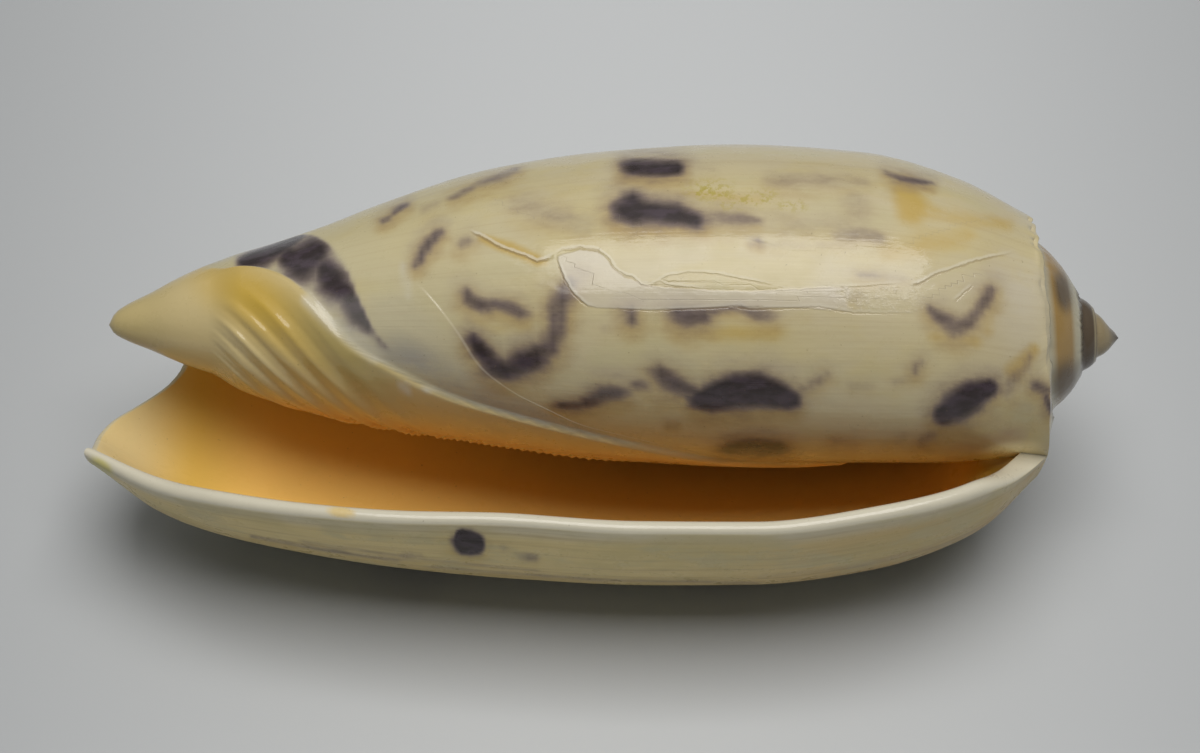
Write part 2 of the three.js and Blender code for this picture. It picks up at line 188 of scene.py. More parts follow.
def curve(knots, values, at):
    """A cubic through the knots that never swings past them."""
    knots, values, at = np.asarray(knots, float), np.asarray(values, float), np.asarray(at, float)
    tail = (1,) * (values.ndim - 1)
    span = np.diff(knots).reshape(-1, *tail)
    slope = np.diff(values, axis=0) / span
    tangent = np.zeros_like(values)
    tangent[0], tangent[-1] = slope[0], slope[-1]
    if len(knots) > 2:
        before, after, a, b = slope[:-1], slope[1:], span[:-1], span[1:]
        same = before * after > 0
        safe_before, safe_after = np.where(same, before, 1), np.where(same, after, 1)
        middle = 3 * (a + b) / ((2 * b + a) / safe_before + (b + 2 * a) / safe_after)
        tangent[1:-1] = np.where(same, middle, 0)
    i = np.clip(np.searchsorted(knots, at, side="right") - 1, 0, len(knots) - 2)
    t = ((at - knots[i]) / np.diff(knots)[i]).reshape(*at.shape, *tail)
    s, h = 1 - t, span[i]
    return ((1 + 2 * t) * s * s * values[i] + t * s * s * h * tangent[i]
            + t * t * (3 - 2 * t) * values[i + 1] - t * t * s * h * tangent[i + 1])


def along(entries, columns):
    """x and r at each column, from [column, x, r] entries."""
    table = np.array(entries, float)
    x = curve(table[:, 0], table[:, 1], columns)
    r = np.exp(curve(table[:, 0], np.log(table[:, 2]), columns))
    return np.stack([x, r], -1)


def from_profiles(profiles, columns):
    keys = sorted(profiles)
    values = np.array([profiles[key] for key in keys], float)
    values[..., 1] = np.log(values[..., 1])
    found = curve(keys, values, columns)
    found[..., 1] = np.exp(found[..., 1])
    return found


def across_rows(knots, rows):
    """Points at each row share, from (columns, 11, 2) knots."""
    return np.moveaxis(curve(KNOT_ROWS, np.moveaxis(knots, 1, 0), rows), 0, 1)


def line(entries, at):
    table = np.array(entries, float)
    return curve(table[:, 0], table[:, 1], np.clip(at, table[0, 0], table[-1, 0]))


def callus_height(column, x):
    edge = line(CALLUS_EDGE, column)
    height = CALLUS_RAISE * (1 - smooth(-0.35, 0.3, x - edge)) * smooth(-19.1, -17.5, x)
    rise = smooth(275, 320, column) * between(-19.1, -17.4, -9, -5, x)
    turned = x - (column - FOLD_COLUMN) * FOLD_SLOPE
    for place, tall, wide in FOLDS:
        away = (turned - place) / wide
        height = height + tall * rise * np.exp(-away * away)
    wrinkles = WRINKLE_HEIGHT * np.sin(turned * 2 * math.pi / WRINKLE_PITCH)
    height = height + wrinkles * smooth(285, 330, column) * between(-19.1, -18.0, -13.5, -11.0, x)
    phase = turned * 2 * math.pi / TOOTH_PITCH
    teeth = TOOTH_HEIGHT * (np.sin(phase) + 0.35 * np.sin(2 * phase))
    height = height + teeth * smooth(380, 398, column) * between(-14.5, -12.5, -1.0, 2.5, x)
    return height * between(205, 235, 420, 465, column)


def outer(columns, rows):
    columns, rows = np.atleast_1d(columns).astype(float), np.atleast_1d(rows).astype(float)
    edge = along(ANTERIOR_EDGE, columns)[:, None]
    found = across_rows(np.concatenate([edge, from_profiles(OUTER_PROFILES, columns)], 1), rows)
    found[..., 1] += callus_height(columns[:, None] + 0 * found[..., 0], found[..., 0])
    return found


def lean(columns, rows):
    columns = np.atleast_1d(columns).astype(float)[:, None]
    lip = 1 - smooth(0, LEAN_REACH, columns)
    under = smooth(TURN - LEAN_REACH, TURN, columns) - smooth(TURN, TURN + LEAN_REACH, columns)
    return curve(KNOT_ROWS, LIP_LEAN, rows) * lip + curve(KNOT_ROWS, LIP_END_LEAN, rows) * under


def outer_angle(columns, rows):
    rows = np.atleast_1d(rows).astype(float)
    return LIP_DIRECTION - np.atleast_1d(columns).astype(float)[:, None] - lean(columns, rows)


def notch_inner(columns):
    edge = outer(columns, 0)[:, 0]
    share = smooth(130, NOTCH_END, columns)[:, None]
    step = outer(NOTCH_END + TURN, 0)[0, 0] - outer(NOTCH_END, 0)[0, 0]
    free = edge + mix(np.array(NOTCH_RIM), step, share)
    merged = outer(np.maximum(columns, NOTCH_END) + TURN, 0)[:, 0]
    return np.where((columns >= NOTCH_END)[:, None], merged, free)


def inner(columns, rows):
    columns, rows = np.atleast_1d(columns).astype(float), np.atleast_1d(rows).astype(float)
    close = smooth(CAVITY_END - CAVITY_CLOSE, CAVITY_END, columns)[:, None, None]
    wall = from_profiles(INNER_PROFILES, np.minimum(columns, 225))
    shut = outer(columns + TURN, KNOT_ROWS)
    knots = np.concatenate([notch_inner(columns)[:, None], mix(wall, shut[:, 1:10], close), shut[:, 10:]], 1)
    found = across_rows(knots, rows)
    found[columns >= CAVITY_END] = outer(columns + TURN, rows)[columns >= CAVITY_END]
    return found


def place(x, r, angle):
    a = np.radians(angle)
    return np.stack(np.broadcast_arrays(x, -r * np.sin(a), -r * np.cos(a)), -1)


def rim(columns, rows, k):
    """One line of the rounded rim between the outer and inner faces."""
    share = eased(k)
    a, b = outer(columns, rows), inner(columns, rows)
    step = b - a
    thick = np.hypot(step[..., 0], step[..., 1])
    swell = math.sin(math.pi * k / RIM_STEPS) * RIM_ROUNDING * thick
    columns, rows = np.atleast_1d(columns).astype(float), np.atleast_1d(rows).astype(float)
    ahead = swell * (1 - smooth(0, 12, columns))[:, None] * (1 - smooth(0.9, 1, rows))
    forward = swell * (1 - smooth(0, 0.06, rows)) * (1 - smooth(150, NOTCH_END, columns))[:, None]
    x = a[..., 0] + step[..., 0] * share + forward * step[..., 1] / thick
    r = a[..., 1] + step[..., 1] * share - forward * step[..., 0] / thick
    return x, r, outer_angle(columns, rows) + np.degrees(ahead / r)


def chips(columns):
    """Small breaks along the edge of the whorl beside the sutural channel."""
    turn = np.radians(columns)
    wave = np.sin(turn * 17) * np.sin(turn * 7.3 + 1) + 0.6 * np.sin(turn * 41 + 2) * np.sin(turn * 5.1)
    nicks = sum(-deep * np.exp(-((columns - at) / wide) ** 2) for at, deep, wide in NICKS)
    return (CHIP_DEPTH * wave + nicks) * between(10, 60, 560, 760, columns)


def suture(columns, worn=1.0):
    columns = np.atleast_1d(columns).astype(float)
    found = along(SUTURE, columns)
    broken = chips(columns) * worn
    found[:, 0] += broken
    found[:, 1] -= 0.7 * np.abs(broken)
    angle = LIP_DIRECTION - columns - LIP_END_LEAN[10] * (1 - smooth(0, LEAN_REACH, columns))
    return found[:, 0], found[:, 1], angle


def shoulder(columns, step):
    """One line of the shoulder and spire. The first steps lie under the end of the lip."""
    columns = np.atleast_1d(columns).astype(float)
    end_x, end_r, end_a = suture(columns)
    foot = eased(min(step, RIM_STEPS))
    body = outer(np.minimum(columns, TURN), 1)[:, 0]
    body_a = outer_angle(np.minimum(columns, TURN), 1)[:, 0]
    lip_x, lip_r, _ = suture(0.0)
    at_lip = smooth(300, TURN, columns)
    share = 0.5 * foot
    swell = 0.1 * np.hypot(end_x - body[:, 0], end_r - body[:, 1]) * math.sin(math.pi * share)
    start_x = mix(mix(body[:, 0], end_x, share), mix(body[:, 0], lip_x, foot), at_lip)
    start_r = mix(mix(body[:, 1], end_r, share) + swell, mix(body[:, 1], lip_r, foot), at_lip)
    start_a = mix(body_a, end_a, share * (1 - at_lip))
    if step < RIM_STEPS:
        return start_x, start_r, start_a
    share = band_share(step)
    old_x, old_r, old_a = suture(np.maximum(columns - TURN, 0), (1 - share) ** 8)
    end_x, end_r, end_a = suture(columns, share ** 8)
    spire = columns > TURN
    start_x, start_r = np.where(spire, old_x, start_x), np.where(spire, old_r, start_r)
    start_a = np.where(spire, old_a - TURN, start_a)
    height = float(line(BARE_BAND, np.array([share]))[0])
    wide = np.hypot(end_x - start_x, end_r - start_r) + 1e-9
    depth = height * smooth(330, 385, columns) * wide / BAND_WIDTH
    return (mix(start_x, end_x, share) - depth * (end_r - start_r) / wide,
            mix(start_r, end_r, share) + depth * (end_x - start_x) / wide,
            mix(start_a, end_a, share))


def turn_columns():
    """Column angles of one turn, finer on the side that the photograph shows."""
    first = np.arange(0, FINE_TO, FINE_STEP)
    middle = np.arange(FINE_TO, FINE_FROM, COARSE_STEP)
    return np.concatenate([first, middle, np.arange(FINE_FROM, TURN, FINE_STEP)])


class Surface:
    """Grids of points, welded into one closed mesh, with the place of each point on the shell."""

    def __init__(self):
        self.points, self.facts, self.quads = [], [], []
        self.count = 0

    def grid(self, lines, kind, flip=False):
        """Adds a grid from (x, radius, angle, column, share) lines, all of one length."""
        x, r, a, column, share = (np.array([np.broadcast_to(one[i], one[0].shape) for one in lines])
                                  for i in range(5))
        rows, cols = x.shape
        self.points.append(place(x, r, a).reshape(-1, 3))
        facts = np.stack([column, x, share, np.full_like(x, kind)], -1)
        self.facts.append(facts.reshape(-1, 4))
        index = self.count + np.arange(rows * cols).reshape(rows, cols)
        quad = np.stack([index[:-1, :-1], index[1:, :-1], index[1:, 1:], index[:-1, 1:]], -1)
        self.quads.append(quad.reshape(-1, 4)[:, ::-1] if flip else quad.reshape(-1, 4))
        self.count += rows * cols

    def welded(self):
        points, facts = np.concatenate(self.points), np.concatenate(self.facts)
        cells = np.round(points / WELD).astype(np.int64)
        _, first, back = np.unique(cells, axis=0, return_index=True, return_inverse=True)
        faces = []
        for quad in back.reshape(-1)[np.concatenate(self.quads)]:
            corners = [int(v) for n, v in enumerate(quad) if v != quad[n - 1]]
            if len(set(corners)) >= 3:
                faces.append(corners)
        return points[first], facts[first], faces


OUTER, INNER, RIM, TIP, SPIRE = range(5)


def build_surface():
    turn = turn_columns()
    rows = np.concatenate([np.linspace(0, FRONT_SHARE, FRONT_ROWS, endpoint=False),
                           np.linspace(FRONT_SHARE, 1, ROW_COUNT - FRONT_ROWS + 1)])
    wall = np.concatenate([turn, turn[turn <= CAVITY_END] + TURN])
    hollow = turn[turn <= CAVITY_END]
    notch = turn[turn <= NOTCH_END]
    surface = Surface()

    xr, a = outer(wall, rows), outer_angle(wall, rows)
    surface.grid([(xr[i, :, 0], xr[i, :, 1], a[i], wall[i], rows) for i in range(len(wall))], OUTER)

    xr, a = inner(hollow, rows), outer_angle(hollow, rows)
    surface.grid([(xr[i, :, 0], xr[i, :, 1], a[i], hollow[i], rows) for i in range(len(hollow))],
                 INNER, flip=True)

    lip, front = [], []
    for k in range(RIM_STEPS + 1):
        x, r, a = rim(0.0, rows, k)
        lip.append((x[0], r[0], a[0], -1.0, rows))
        x, r, a = rim(notch, 0.0, k)
        front.append((x[:, 0], r[:, 0], a[:, 0], notch, 0.0))
    surface.grid(lip, RIM, flip=True)
    surface.grid(front, RIM)

    ring = np.concatenate([turn[turn >= NOTCH_END], turn[turn <= NOTCH_END] + TURN])[::-1]
    xr, a = outer(ring, 0)[:, 0], outer_angle(ring, 0)[:, 0]
    low, high = outer(NOTCH_END, 0)[0, 0], outer(NOTCH_END + TURN, 0)[0, 0]
    ring_r = np.concatenate([xr[:, 1], mix(low[1], high[1], eased(np.arange(1, RIM_STEPS + 1)))])
    ring_a = np.concatenate([a, np.full(RIM_STEPS, outer_angle(NOTCH_END, 0)[0, 0])])
    ring_c = np.concatenate([ring, np.full(RIM_STEPS, NOTCH_END)])
    tip_x, tip_share = np.array(TIP_PROFILE).T
    lines = []
    for m in range(TIP_STEPS + 1):
        x = mix(tip_x[0], tip_x[-1], 1 - (1 - m / TIP_STEPS) ** 1.6)
        share = float(curve(-tip_x, tip_share, np.array([-x]))[0])
        lines.append((np.full(len(ring_r), x), ring_r * share, ring_a, ring_c, 0.0))
    surface.grid(lines, TIP, flip=True)

    spire = np.concatenate([turn + TURN * n for n in range(5)])
    spire = spire[spire <= SPIRE_END]
    first = spire[spire <= TURN]
    lines = [(*shoulder(first, step), first, 0.0) for step in range(RIM_STEPS + 1)]
    surface.grid(lines, OUTER, flip=True)
    lines = []
    for step in range(RIM_STEPS, RIM_STEPS + BAND_STEPS + 1):
        lines.append((*shoulder(spire, step), spire, band_share(step)))
    surface.grid(lines, SPIRE, flip=True)
    closing = spire[spire >= spire[-1] - TURN]
    side = [shoulder(spire[-1:], step) for step in range(RIM_STEPS + BAND_STEPS - 1, RIM_STEPS - 1, -1)]
    x, r, a = np.concatenate([np.array(suture(closing)), np.array(side)[:, :, 0].T], 1)
    surface.grid([(x, r, a, spire[-1], 1.0), (np.full_like(x, SPIRE_TIP_X), 0 * r, a, spire[-1], 1.0)],
                 SPIRE, flip=True)
    return surface.welded()


def camera_axes():
    e, roll = CAMERA_ELEVATION, CAMERA_ROLL
    right, up = np.array([1.0, 0, 0]), np.array([0, math.sin(e), math.cos(e)])
    back = np.array([0, -math.cos(e), math.sin(e)])
    return (right * math.cos(roll) - up * math.sin(roll),
            up * math.cos(roll) + right * math.sin(roll), back)


def camera_place():
    """The camera's eye, in millimetres from the coiling axis."""
    _, up, back = camera_axes()
    return np.array([AIM_X, 0, 0]) + back * CAMERA_DISTANCE - up * AIM_BELOW_AXIS


def photo_place(points):
    """Where points, in millimetres from the coiling axis, fall in the photograph."""
    right, up, back = camera_axes()
    p = points - np.array([AIM_X, 0, 0])
    scale = PIXELS_PER_MM * CAMERA_DISTANCE / (CAMERA_DISTANCE - p @ back)
    return (PHOTO_WIDTH / 2 + scale * (p @ right),
            PHOTO_HEIGHT / 2 - scale * (p @ up + AIM_BELOW_AXIS))


def blot(px, py, at_x, at_y, half_x, half_y, tilt, soft):
    """A soft-edged patch round a place, 1 inside and 0 outside. tilt turns it clockwise."""
    t = math.radians(tilt)
    u = (px - at_x) * math.cos(t) + (py - at_y) * math.sin(t)
    v = (py - at_y) * math.cos(t) - (px - at_x) * math.sin(t)
    far = (np.abs(u / half_x) ** BLOT_POWER + np.abs(v / half_y) ** BLOT_POWER) ** (1 / BLOT_POWER)
    return 1 - smooth(1 - soft, 1 + soft, far)


BLOT_POWER = 2.2  # between an ellipse and a rounded box

# Colours, linear.
IVORY = (0.58, 0.515, 0.30)
CREAM = (0.60, 0.52, 0.325)
YELLOW = (0.60, 0.50, 0.23)
OCHRE = (0.60, 0.37, 0.11)
TAN = (0.42, 0.25, 0.10)
MAUVE = (0.34, 0.27, 0.27)
PORCELAIN = (0.66, 0.615, 0.48)
CALLUS_CREAM = (0.62, 0.50, 0.25)
CALLUS_GOLD = (0.58, 0.385, 0.06)
CALLUS_OLIVE = (0.42, 0.335, 0.125)
PEACH = (0.64, 0.30, 0.055)
GLAZE_GREY = (0.36, 0.34, 0.29)
LIP_ORANGE = (0.64, 0.27, 0.03)
ORANGE_WITH_PAINTED_LIGHT = (1.0, 0.64, 0.17)
DEEP_PAINTED_SHADE = (0.10, 0.08, 0.05)
LIP_CREAM = (0.80, 0.64, 0.30)
NOTCH_CREAM = (0.70, 0.54, 0.25)
KNOB_CREAM_AND_HIGHLIGHT = (1.0, 0.86, 0.5)
CHIP = (0.62, 0.56, 0.22)
SPIRE_ORANGE = (0.36, 0.23, 0.08)
SPIRE_CREAM = (0.52, 0.48, 0.34)
SPIRE_DARK = (0.10, 0.075, 0.05)
SPIRE_GREY = (0.30, 0.24, 0.14)
BAND_GROUND = (0.503, 0.45375, 0.2965)
GROWTH_BROWN = (0.36, 0.25, 0.12)
STAIN_OCHRE = (0.54, 0.37, 0.085)
VEIL_MAUVE = (0.26, 0.20, 0.19)
INK_BLACK = (0.030, 0.021, 0.022)
INK_VIOLET = (0.062, 0.044, 0.056)
SKIN_AND_REFLECTION_TINT = (0.64, 0.58, 0.48)
CRACK_PALE = (0.76, 0.71, 0.58)
CRACK_BROWN = (0.27, 0.18, 0.08)
GLAZE_FILM = (0.55, 0.53, 0.47)
GLAZE_EDGE_HIGHLIGHT = (0.74, 0.69, 0.58)
DIRT_GREEN = (0.42, 0.34, 0.045)
SPECK_BROWN = (0.20, 0.14, 0.07)
FLOOR_GREY = (0.355, 0.368, 0.376)
FLOOR_LIGHT_POOL = (0.575, 0.592, 0.602)
WINDOW_WHITE = (1.0, 0.985, 0.965)
SKY = (0.93, 0.97, 1.0)
SKY_STRENGTH = 0.085
# The floor, in metres, with a painted pool of light round the shell: paler near it and greyer further off.
FLOOR_HALF = 2.5
LIGHT_POOL_PLACE = (0.002, 0.005, 0.0)
LIGHT_POOL_SHAPE = (30.0, 9.0, 0.0)

# Soft patches of colour in the photograph's pixels: colour, strength, x, y, half width, half height,
# tilt in degrees and softness.
CLOUDS = [
    (YELLOW, 0.35, 925, 238, 60, 20, 0, 0.9), (YELLOW, 0.5, 720, 195, 60, 20, 0, 0.9),
    (YELLOW, 0.45, 620, 240, 70, 20, 0, 0.9), (YELLOW, 0.3, 560, 290, 90, 40, 0, 0.9),
    (YELLOW, 0.3, 960, 350, 60, 40, 0, 0.9), (YELLOW, 0.5, 740, 340, 80, 16, 0, 0.9),
    (YELLOW, 0.4, 640, 420, 120, 24, 0, 0.9), (YELLOW, 0.3, 420, 230, 50, 30, 0, 0.9),
    (PORCELAIN, 0.5, 1022, 280, 20, 60, 0, 0.9),
]
FAR_END_PATCHES = [
    (TAN, 0.75, 1000, 437, 60, 20, 0, 0.9), (YELLOW, 0.7, 1036, 440, 12, 16, 0, 0.8),
    (MAUVE, 0.16, 1005, 300, 40, 70, 0, 0.9),
]
GLAZE_PATCHES = [
    (GLAZE_GREY, 0.85, 418, 366, 34, 17, 35, 0.8), (GLAZE_GREY, 0.7, 505, 404, 100, 11, 23, 0.8),
    (PORCELAIN, 0.75, 350, 325, 42, 8, 48, 0.8), (PORCELAIN, 0.55, 292, 243, 14, 5, -30, 0.8),
]
CALLUS_PATCHES = [
    (CALLUS_GOLD, 0.95, 255, 300, 54, 26, 36, 0.9), (CALLUS_GOLD, 0.5, 310, 350, 50, 24, 40, 0.9),
    (CALLUS_OLIVE, 0.85, 345, 352, 60, 20, 46, 0.9),
]
# The pale knob at the aperture's far end: cream callus, brightened as a painted highlight.
KNOB_PATCH_WITH_HIGHLIGHT = [(KNOB_CREAM_AND_HIGHLIGHT, 0.95, 1008, 453, 26, 9, -10, 0.6)]
LIP_PATCHES = [(CHIP, 1.0, 100, 469, 13, 9, 40, 0.3), (NOTCH_CREAM, 1.0, 341, 512, 13, 5, 6, 0.3)]
SPIRE_PATCHES = [
    (SPIRE_DARK, 0.9, 1063, 291, 8, 20, -10, 0.5), (SPIRE_DARK, 0.85, 1066, 382, 14, 20, 20, 0.6),
]

# Marks on the side the photograph shows, as soft strokes: a strength, then places (x, y, half width)
# in its pixels.
BODY_MARKS = [
    # along the upper outline
    (0.7, (383, 221, 4), (389, 218, 4)), (0.75, (393, 213, 4), (405, 205, 4)),
    (0.35, (424, 210, 6), (438, 203, 5)), (0.6, (452, 198, 4), (470, 188, 5)),
    (0.62, (480, 184, 5), (500, 177, 6), (518, 169, 4)), (0.4, (532, 208, 3), (535, 208, 3)),
    (0.4, (520, 204, 14), (550, 214, 16), (586, 227, 14)),
    (1.15, (630, 167, 8), (652, 168, 9), (676, 168, 8)), (0.28, (683, 168, 7), (712, 170, 5)),
    (0.6, (886, 172, 4), (897, 177, 5)), (0.8, (898, 178, 3.5), (915, 181, 4), (930, 183, 3)),
    (0.28, (891, 178, 7), (893, 192, 7)),
    # the long bar under them, fading to the right
    (1.15, (624, 210, 13), (648, 211, 12), (674, 214, 12), (698, 221, 8)),
    (1.2, (632, 204, 13), (636, 212, 14)), (0.62, (698, 219, 9), (730, 219, 10), (758, 221, 6)),
    (0.3, (620, 196, 9), (690, 202, 9)), (0.4, (770, 180, 9), (800, 181, 10), (866, 182, 6)),
    (0.36, (856, 205, 16), (860, 226, 18)), (0.34, (762, 222, 14), (800, 226, 14), (846, 224, 14)),
    (0.5, (840, 236, 9), (862, 233, 11), (882, 239, 7)), (0.3, (766, 244, 5), (800, 245, 6), (852, 245, 5)),
    (0.8, (755, 242, 2.4), (758, 242, 2.4)),
    # left of the mended break: a short bar, then a ring open at the top
    (0.8, (439, 232, 6), (429, 243, 6), (421, 254, 6), (417, 266, 4)), (0.55, (462, 243, 8), (469, 240, 7)),
    (0.78, (466, 292, 7), (469, 299, 9), (483, 306, 10), (497, 304, 7), (511, 308, 8), (523, 314, 7)),
    (0.4, (466, 306, 8), (470, 322, 8), (474, 338, 7)),
    (1.05, (473, 340, 8), (484, 354, 10), (494, 366, 11), (506, 371, 11), (521, 363, 13), (536, 357, 13)),
    (0.85, (536, 357, 13), (549, 349, 11), (556, 331, 11), (558, 314, 11), (562, 297, 11), (569, 284, 8)),
    (0.35, (549, 300, 9), (553, 286, 8)), (0.42, (572, 279, 9), (584, 272, 8)),
    # below the break
    (0.85, (630, 312, 9), (631, 319, 9)), (0.3, (604, 330, 7), (610, 328, 7)),
    (0.22, (572, 327, 8), (580, 329, 8)), (0.85, (676, 314, 10), (690, 317, 12), (703, 316, 10)),
    (0.68, (703, 313, 8), (722, 308, 6), (740, 306, 5)),
    (0.66, (745, 311, 6), (760, 315, 9), (771, 317, 8)), (0.28, (776, 310, 4), (806, 310, 4)),
    (0.5, (859, 275, 5), (879, 276, 5)), (0.32, (880, 278, 6), (906, 278, 6)),
    (0.32, (830, 296, 8), (857, 297, 8)), (0.26, (708, 298, 6), (738, 297, 5)),
    # the lower row
    (0.85, (556, 405, 4), (580, 406, 6), (596, 399, 9), (606, 393, 10), (622, 394, 8)),
    (0.6, (634, 385, 7), (647, 385, 8)),
    (0.85, (658, 372, 9), (668, 381, 13), (680, 387, 10), (694, 392, 8)),
    (1.35, (699, 400, 9), (713, 398, 13), (735, 391, 16), (757, 390, 16), (777, 395, 13), (790, 400, 9)),
    (0.52, (803, 389, 6), (814, 384, 8), (826, 374, 6)), (0.34, (853, 387, 6), (870, 386, 6)),
    (0.38, (895, 382, 6), (909, 377, 6)), (0.6, (915, 371, 6), (920, 363, 6)),
    (0.7, (670, 423, 2.6), (673, 422, 2.6)),
    # towards the spire
    (0.72, (929, 309, 5), (941, 318, 9), (955, 329, 12), (969, 323, 10), (978, 311, 8), (986, 299, 9),
     (991, 290, 7)), (1.3, (944, 415, 10), (956, 406, 15), (972, 396, 14), (989, 388, 9)),
    (0.52, (1031, 355, 4), (1026, 369, 7), (1013, 381, 9), (1006, 393, 10)),
    (0.28, (1006, 402, 12), (1030, 404, 12)), (0.75, (1036, 386, 7), (1046, 391, 7)),
    (0.85, (1046, 397, 4), (1051, 410, 4)),
    # just above the aperture
    (1.0, (728, 449, 8), (755, 447, 10), (781, 448, 8)), (0.46, (833, 442, 6), (853, 442, 6)),
    (0.34, (896, 441, 7), (903, 436, 7)), (0.5, (921, 443, 8), (933, 433, 7)),
]
# Dark blotches of the band round the front end, with paler streaks between them.
BAND_MARKS = [
    (1.15, (244, 262, 7), (260, 256, 12), (280, 246, 10), (300, 235, 5)),
    (1.2, (290, 258, 12), (302, 263, 19), (315, 252, 15)),
    (1.15, (325, 268, 12), (334, 284, 17), (342, 290, 13)),
    (1.15, (350, 298, 11), (361, 313, 14), (369, 325, 9)),
    (0.85, (377, 332, 7), (387, 340, 8), (393, 346, 5)),
    (0.62, (300, 260, 20), (332, 280, 19), (358, 308, 15), (386, 339, 9)),
]
# Ochre and yellow stains that don't lie under a mark.
STAINS = [
    (0.35, (618, 182, 8), (690, 181, 9)), (0.75, (616, 228, 7), (705, 232, 8)),
    (0.9, (905, 188, 12), (912, 208, 14)), (0.5, (930, 214, 8), (1008, 224, 8)),
    (0.5, (886, 250, 12), (925, 244, 13), (968, 236, 9)),
    (0.9, (482, 238, 4), (509, 248, 6), (541, 262, 5)), (0.6, (680, 333, 9), (775, 331, 9)),
    (0.5, (992, 300, 8), (985, 330, 8)), (0.6, (935, 336, 7), (975, 340, 8)),
    (0.7, (1034, 350, 6), (1016, 372, 10)), (0.6, (571, 300, 7), (568, 330, 7)),
    (0.4, (640, 188, 5), (760, 200, 6)), (0.35, (470, 330, 7), (530, 326, 7)),
    (0.5, (560, 415, 7), (620, 410, 8)),
]
# Green-yellow dirt caught in the glaze.
DIRT = [
    (1.0, (697, 191, 7), (722, 190, 8)), (0.8, (727, 202, 6), (768, 197, 7)),
    (0.7, (782, 206, 4), (800, 206, 4)),
]
# The spot and the growth lines on the outside of the lip.
LIP_MARKS = [
    (2.3, (462, 536, 5), (466, 542, 9), (473, 544, 8)), (0.55, (524, 557, 5), (534, 558, 5)),
    (0.4, (500, 548, 4), (507, 548, 4)), (0.45, (402, 556, 4), (418, 557, 4)),
    (0.5, (250, 536, 1.8), (320, 549, 2), (400, 561, 2)),
    (0.4, (300, 541, 1.6), (420, 559, 1.8), (540, 571, 1.8)),
    (0.42, (430, 567, 1.8), (600, 580, 2), (760, 583, 1.8)),
    (0.3, (760, 577, 1.8), (860, 566, 2), (940, 546, 2), (1000, 520, 1.8)),
]
# How strokes spread into veils and stains: times wider, added width, strength, and how far they drop,
# as a share of the width and beside it. The last is in millimetres.
VEIL = (1.5, 5, 0.6, 0, 0)
STAIN_UNDER = (1.2, 4, 0.75, 0.35, 3)
HIDDEN_STAIN = (1.2, 0.2, 0.6, 0, -0.35)
# The side that the photograph doesn't show: its random marks, and the radius that turns a column into
# a distance round it.
HIDDEN_SEED = 7
HIDDEN_MARKS = 80
HIDDEN_BLOTCHES = 9
HIDDEN_RADIUS = 9.5
GROWTH_RADIUS = 9.0
# Painted highlights in the glaze: short glints and a bright line along a ridge, and a small pale scratch.
GLINTS_AND_PALE_SCRATCH = [
    (0.5, (404, 266, 3), (406, 284, 3), (409, 297, 3)), (0.4, (284, 240, 4), (300, 232, 4)),
    (0.7, (308, 300, 5), (335, 325, 6), (374, 357, 5)), (1.0, (403, 385, 3), (407, 392, 3)),
    (0.9, (425, 390, 3), (430, 388, 3)),
]
# Fine cracks and lifted edges of the mended break: a strength, then places along each.
CRACKS = [
    (1.0, (470, 232), (481, 237), (500, 248), (520, 255), (538, 262), (553, 258)),
    (0.55, (553, 256), (562, 250), (580, 248), (597, 250), (608, 258), (613, 267), (622, 275), (634, 278),
     (641, 286), (660, 285), (690, 288), (735, 292)),
    (0.75, (557, 262), (563, 277), (570, 290), (580, 300), (590, 308)),
    (0.35, (656, 284), (668, 276), (690, 273), (716, 274), (745, 280), (775, 287)),
    (0.4, (590, 308), (650, 311), (700, 309), (740, 306), (744, 310), (800, 308), (820, 307), (850, 313),
     (926, 315)), (0.7, (912, 286), (922, 283), (932, 276), (950, 270), (972, 262), (1018, 252)),
    (0.5, (955, 301), (964, 293), (973, 286)), (0.25, (745, 292), (800, 290), (860, 287), (905, 284)),
]
# Outline of the pale patch over the break: a thin skin of new shell, and also a painted reflection of the
# window light.
SKIN_REFLECTION_OUTLINE = [
    (556, 256), (580, 249), (600, 251), (612, 265), (625, 277), (655, 286), (740, 291), (800, 288),
    (870, 284), (918, 284), (926, 314), (850, 312), (800, 308), (740, 307), (650, 310), (590, 308),
    (575, 297), (565, 284),
]
# The edge of the clear glaze that spreads from the callus over the body: column, x.
GLAZE_EDGE = [
    (270, -11.4), (285, -9.8), (298.6, -8.4), (316.4, -6.9), (331, -5.85), (343, -4.24), (351.4, -2.5),
    (358, -1.1), (363.6, 1.1), (375, 5), (404, 14),
]
LIP_CRACK = [(966, 484), (972, 487), (979, 483), (986, 484)]
LIP_CRACK_X = 976
LIP_CRACK_REACH = 12
# Distances in pixels that stand for far away from the break.
NO_CRACK = 40.0
FAR_FROM_SKIN_PATCH = -30.0


def nearest_on(px, py, start, end):
    """Offset of each point from a straight piece, and how far along it the nearest place lies."""
    dx, dy = end[0] - start[0], end[1] - start[1]
    t = np.clip(((px - start[0]) * dx + (py - start[1]) * dy) / (dx * dx + dy * dy), 0, 1)
    return px - start[0] - t * dx, py - start[1] - t * dy, t


def paint(px, py, strokes):
    """The strongest of a list of soft-edged strokes at each point."""
    field = np.zeros(len(px))
    for strength, *places in strokes:
        for start, end in zip(places[:-1], places[1:]):
            away_x, away_y, t = nearest_on(px, py, start, end)
            far = np.hypot(away_x, away_y) / mix(start[2], end[2], t)
            field = np.maximum(field, strength * (1 - smooth(0, 2.25, far)))
    return field


def spread(strokes, wider, extra, fainter, drop, below):
    """The same strokes, wider and fainter, and moved down by a share of their width and a length."""
    return [(fainter * min(strength, 1.0),
             *((x, y + drop * wide + below, wider * wide + extra) for x, y, wide in places))
            for strength, *places in strokes]


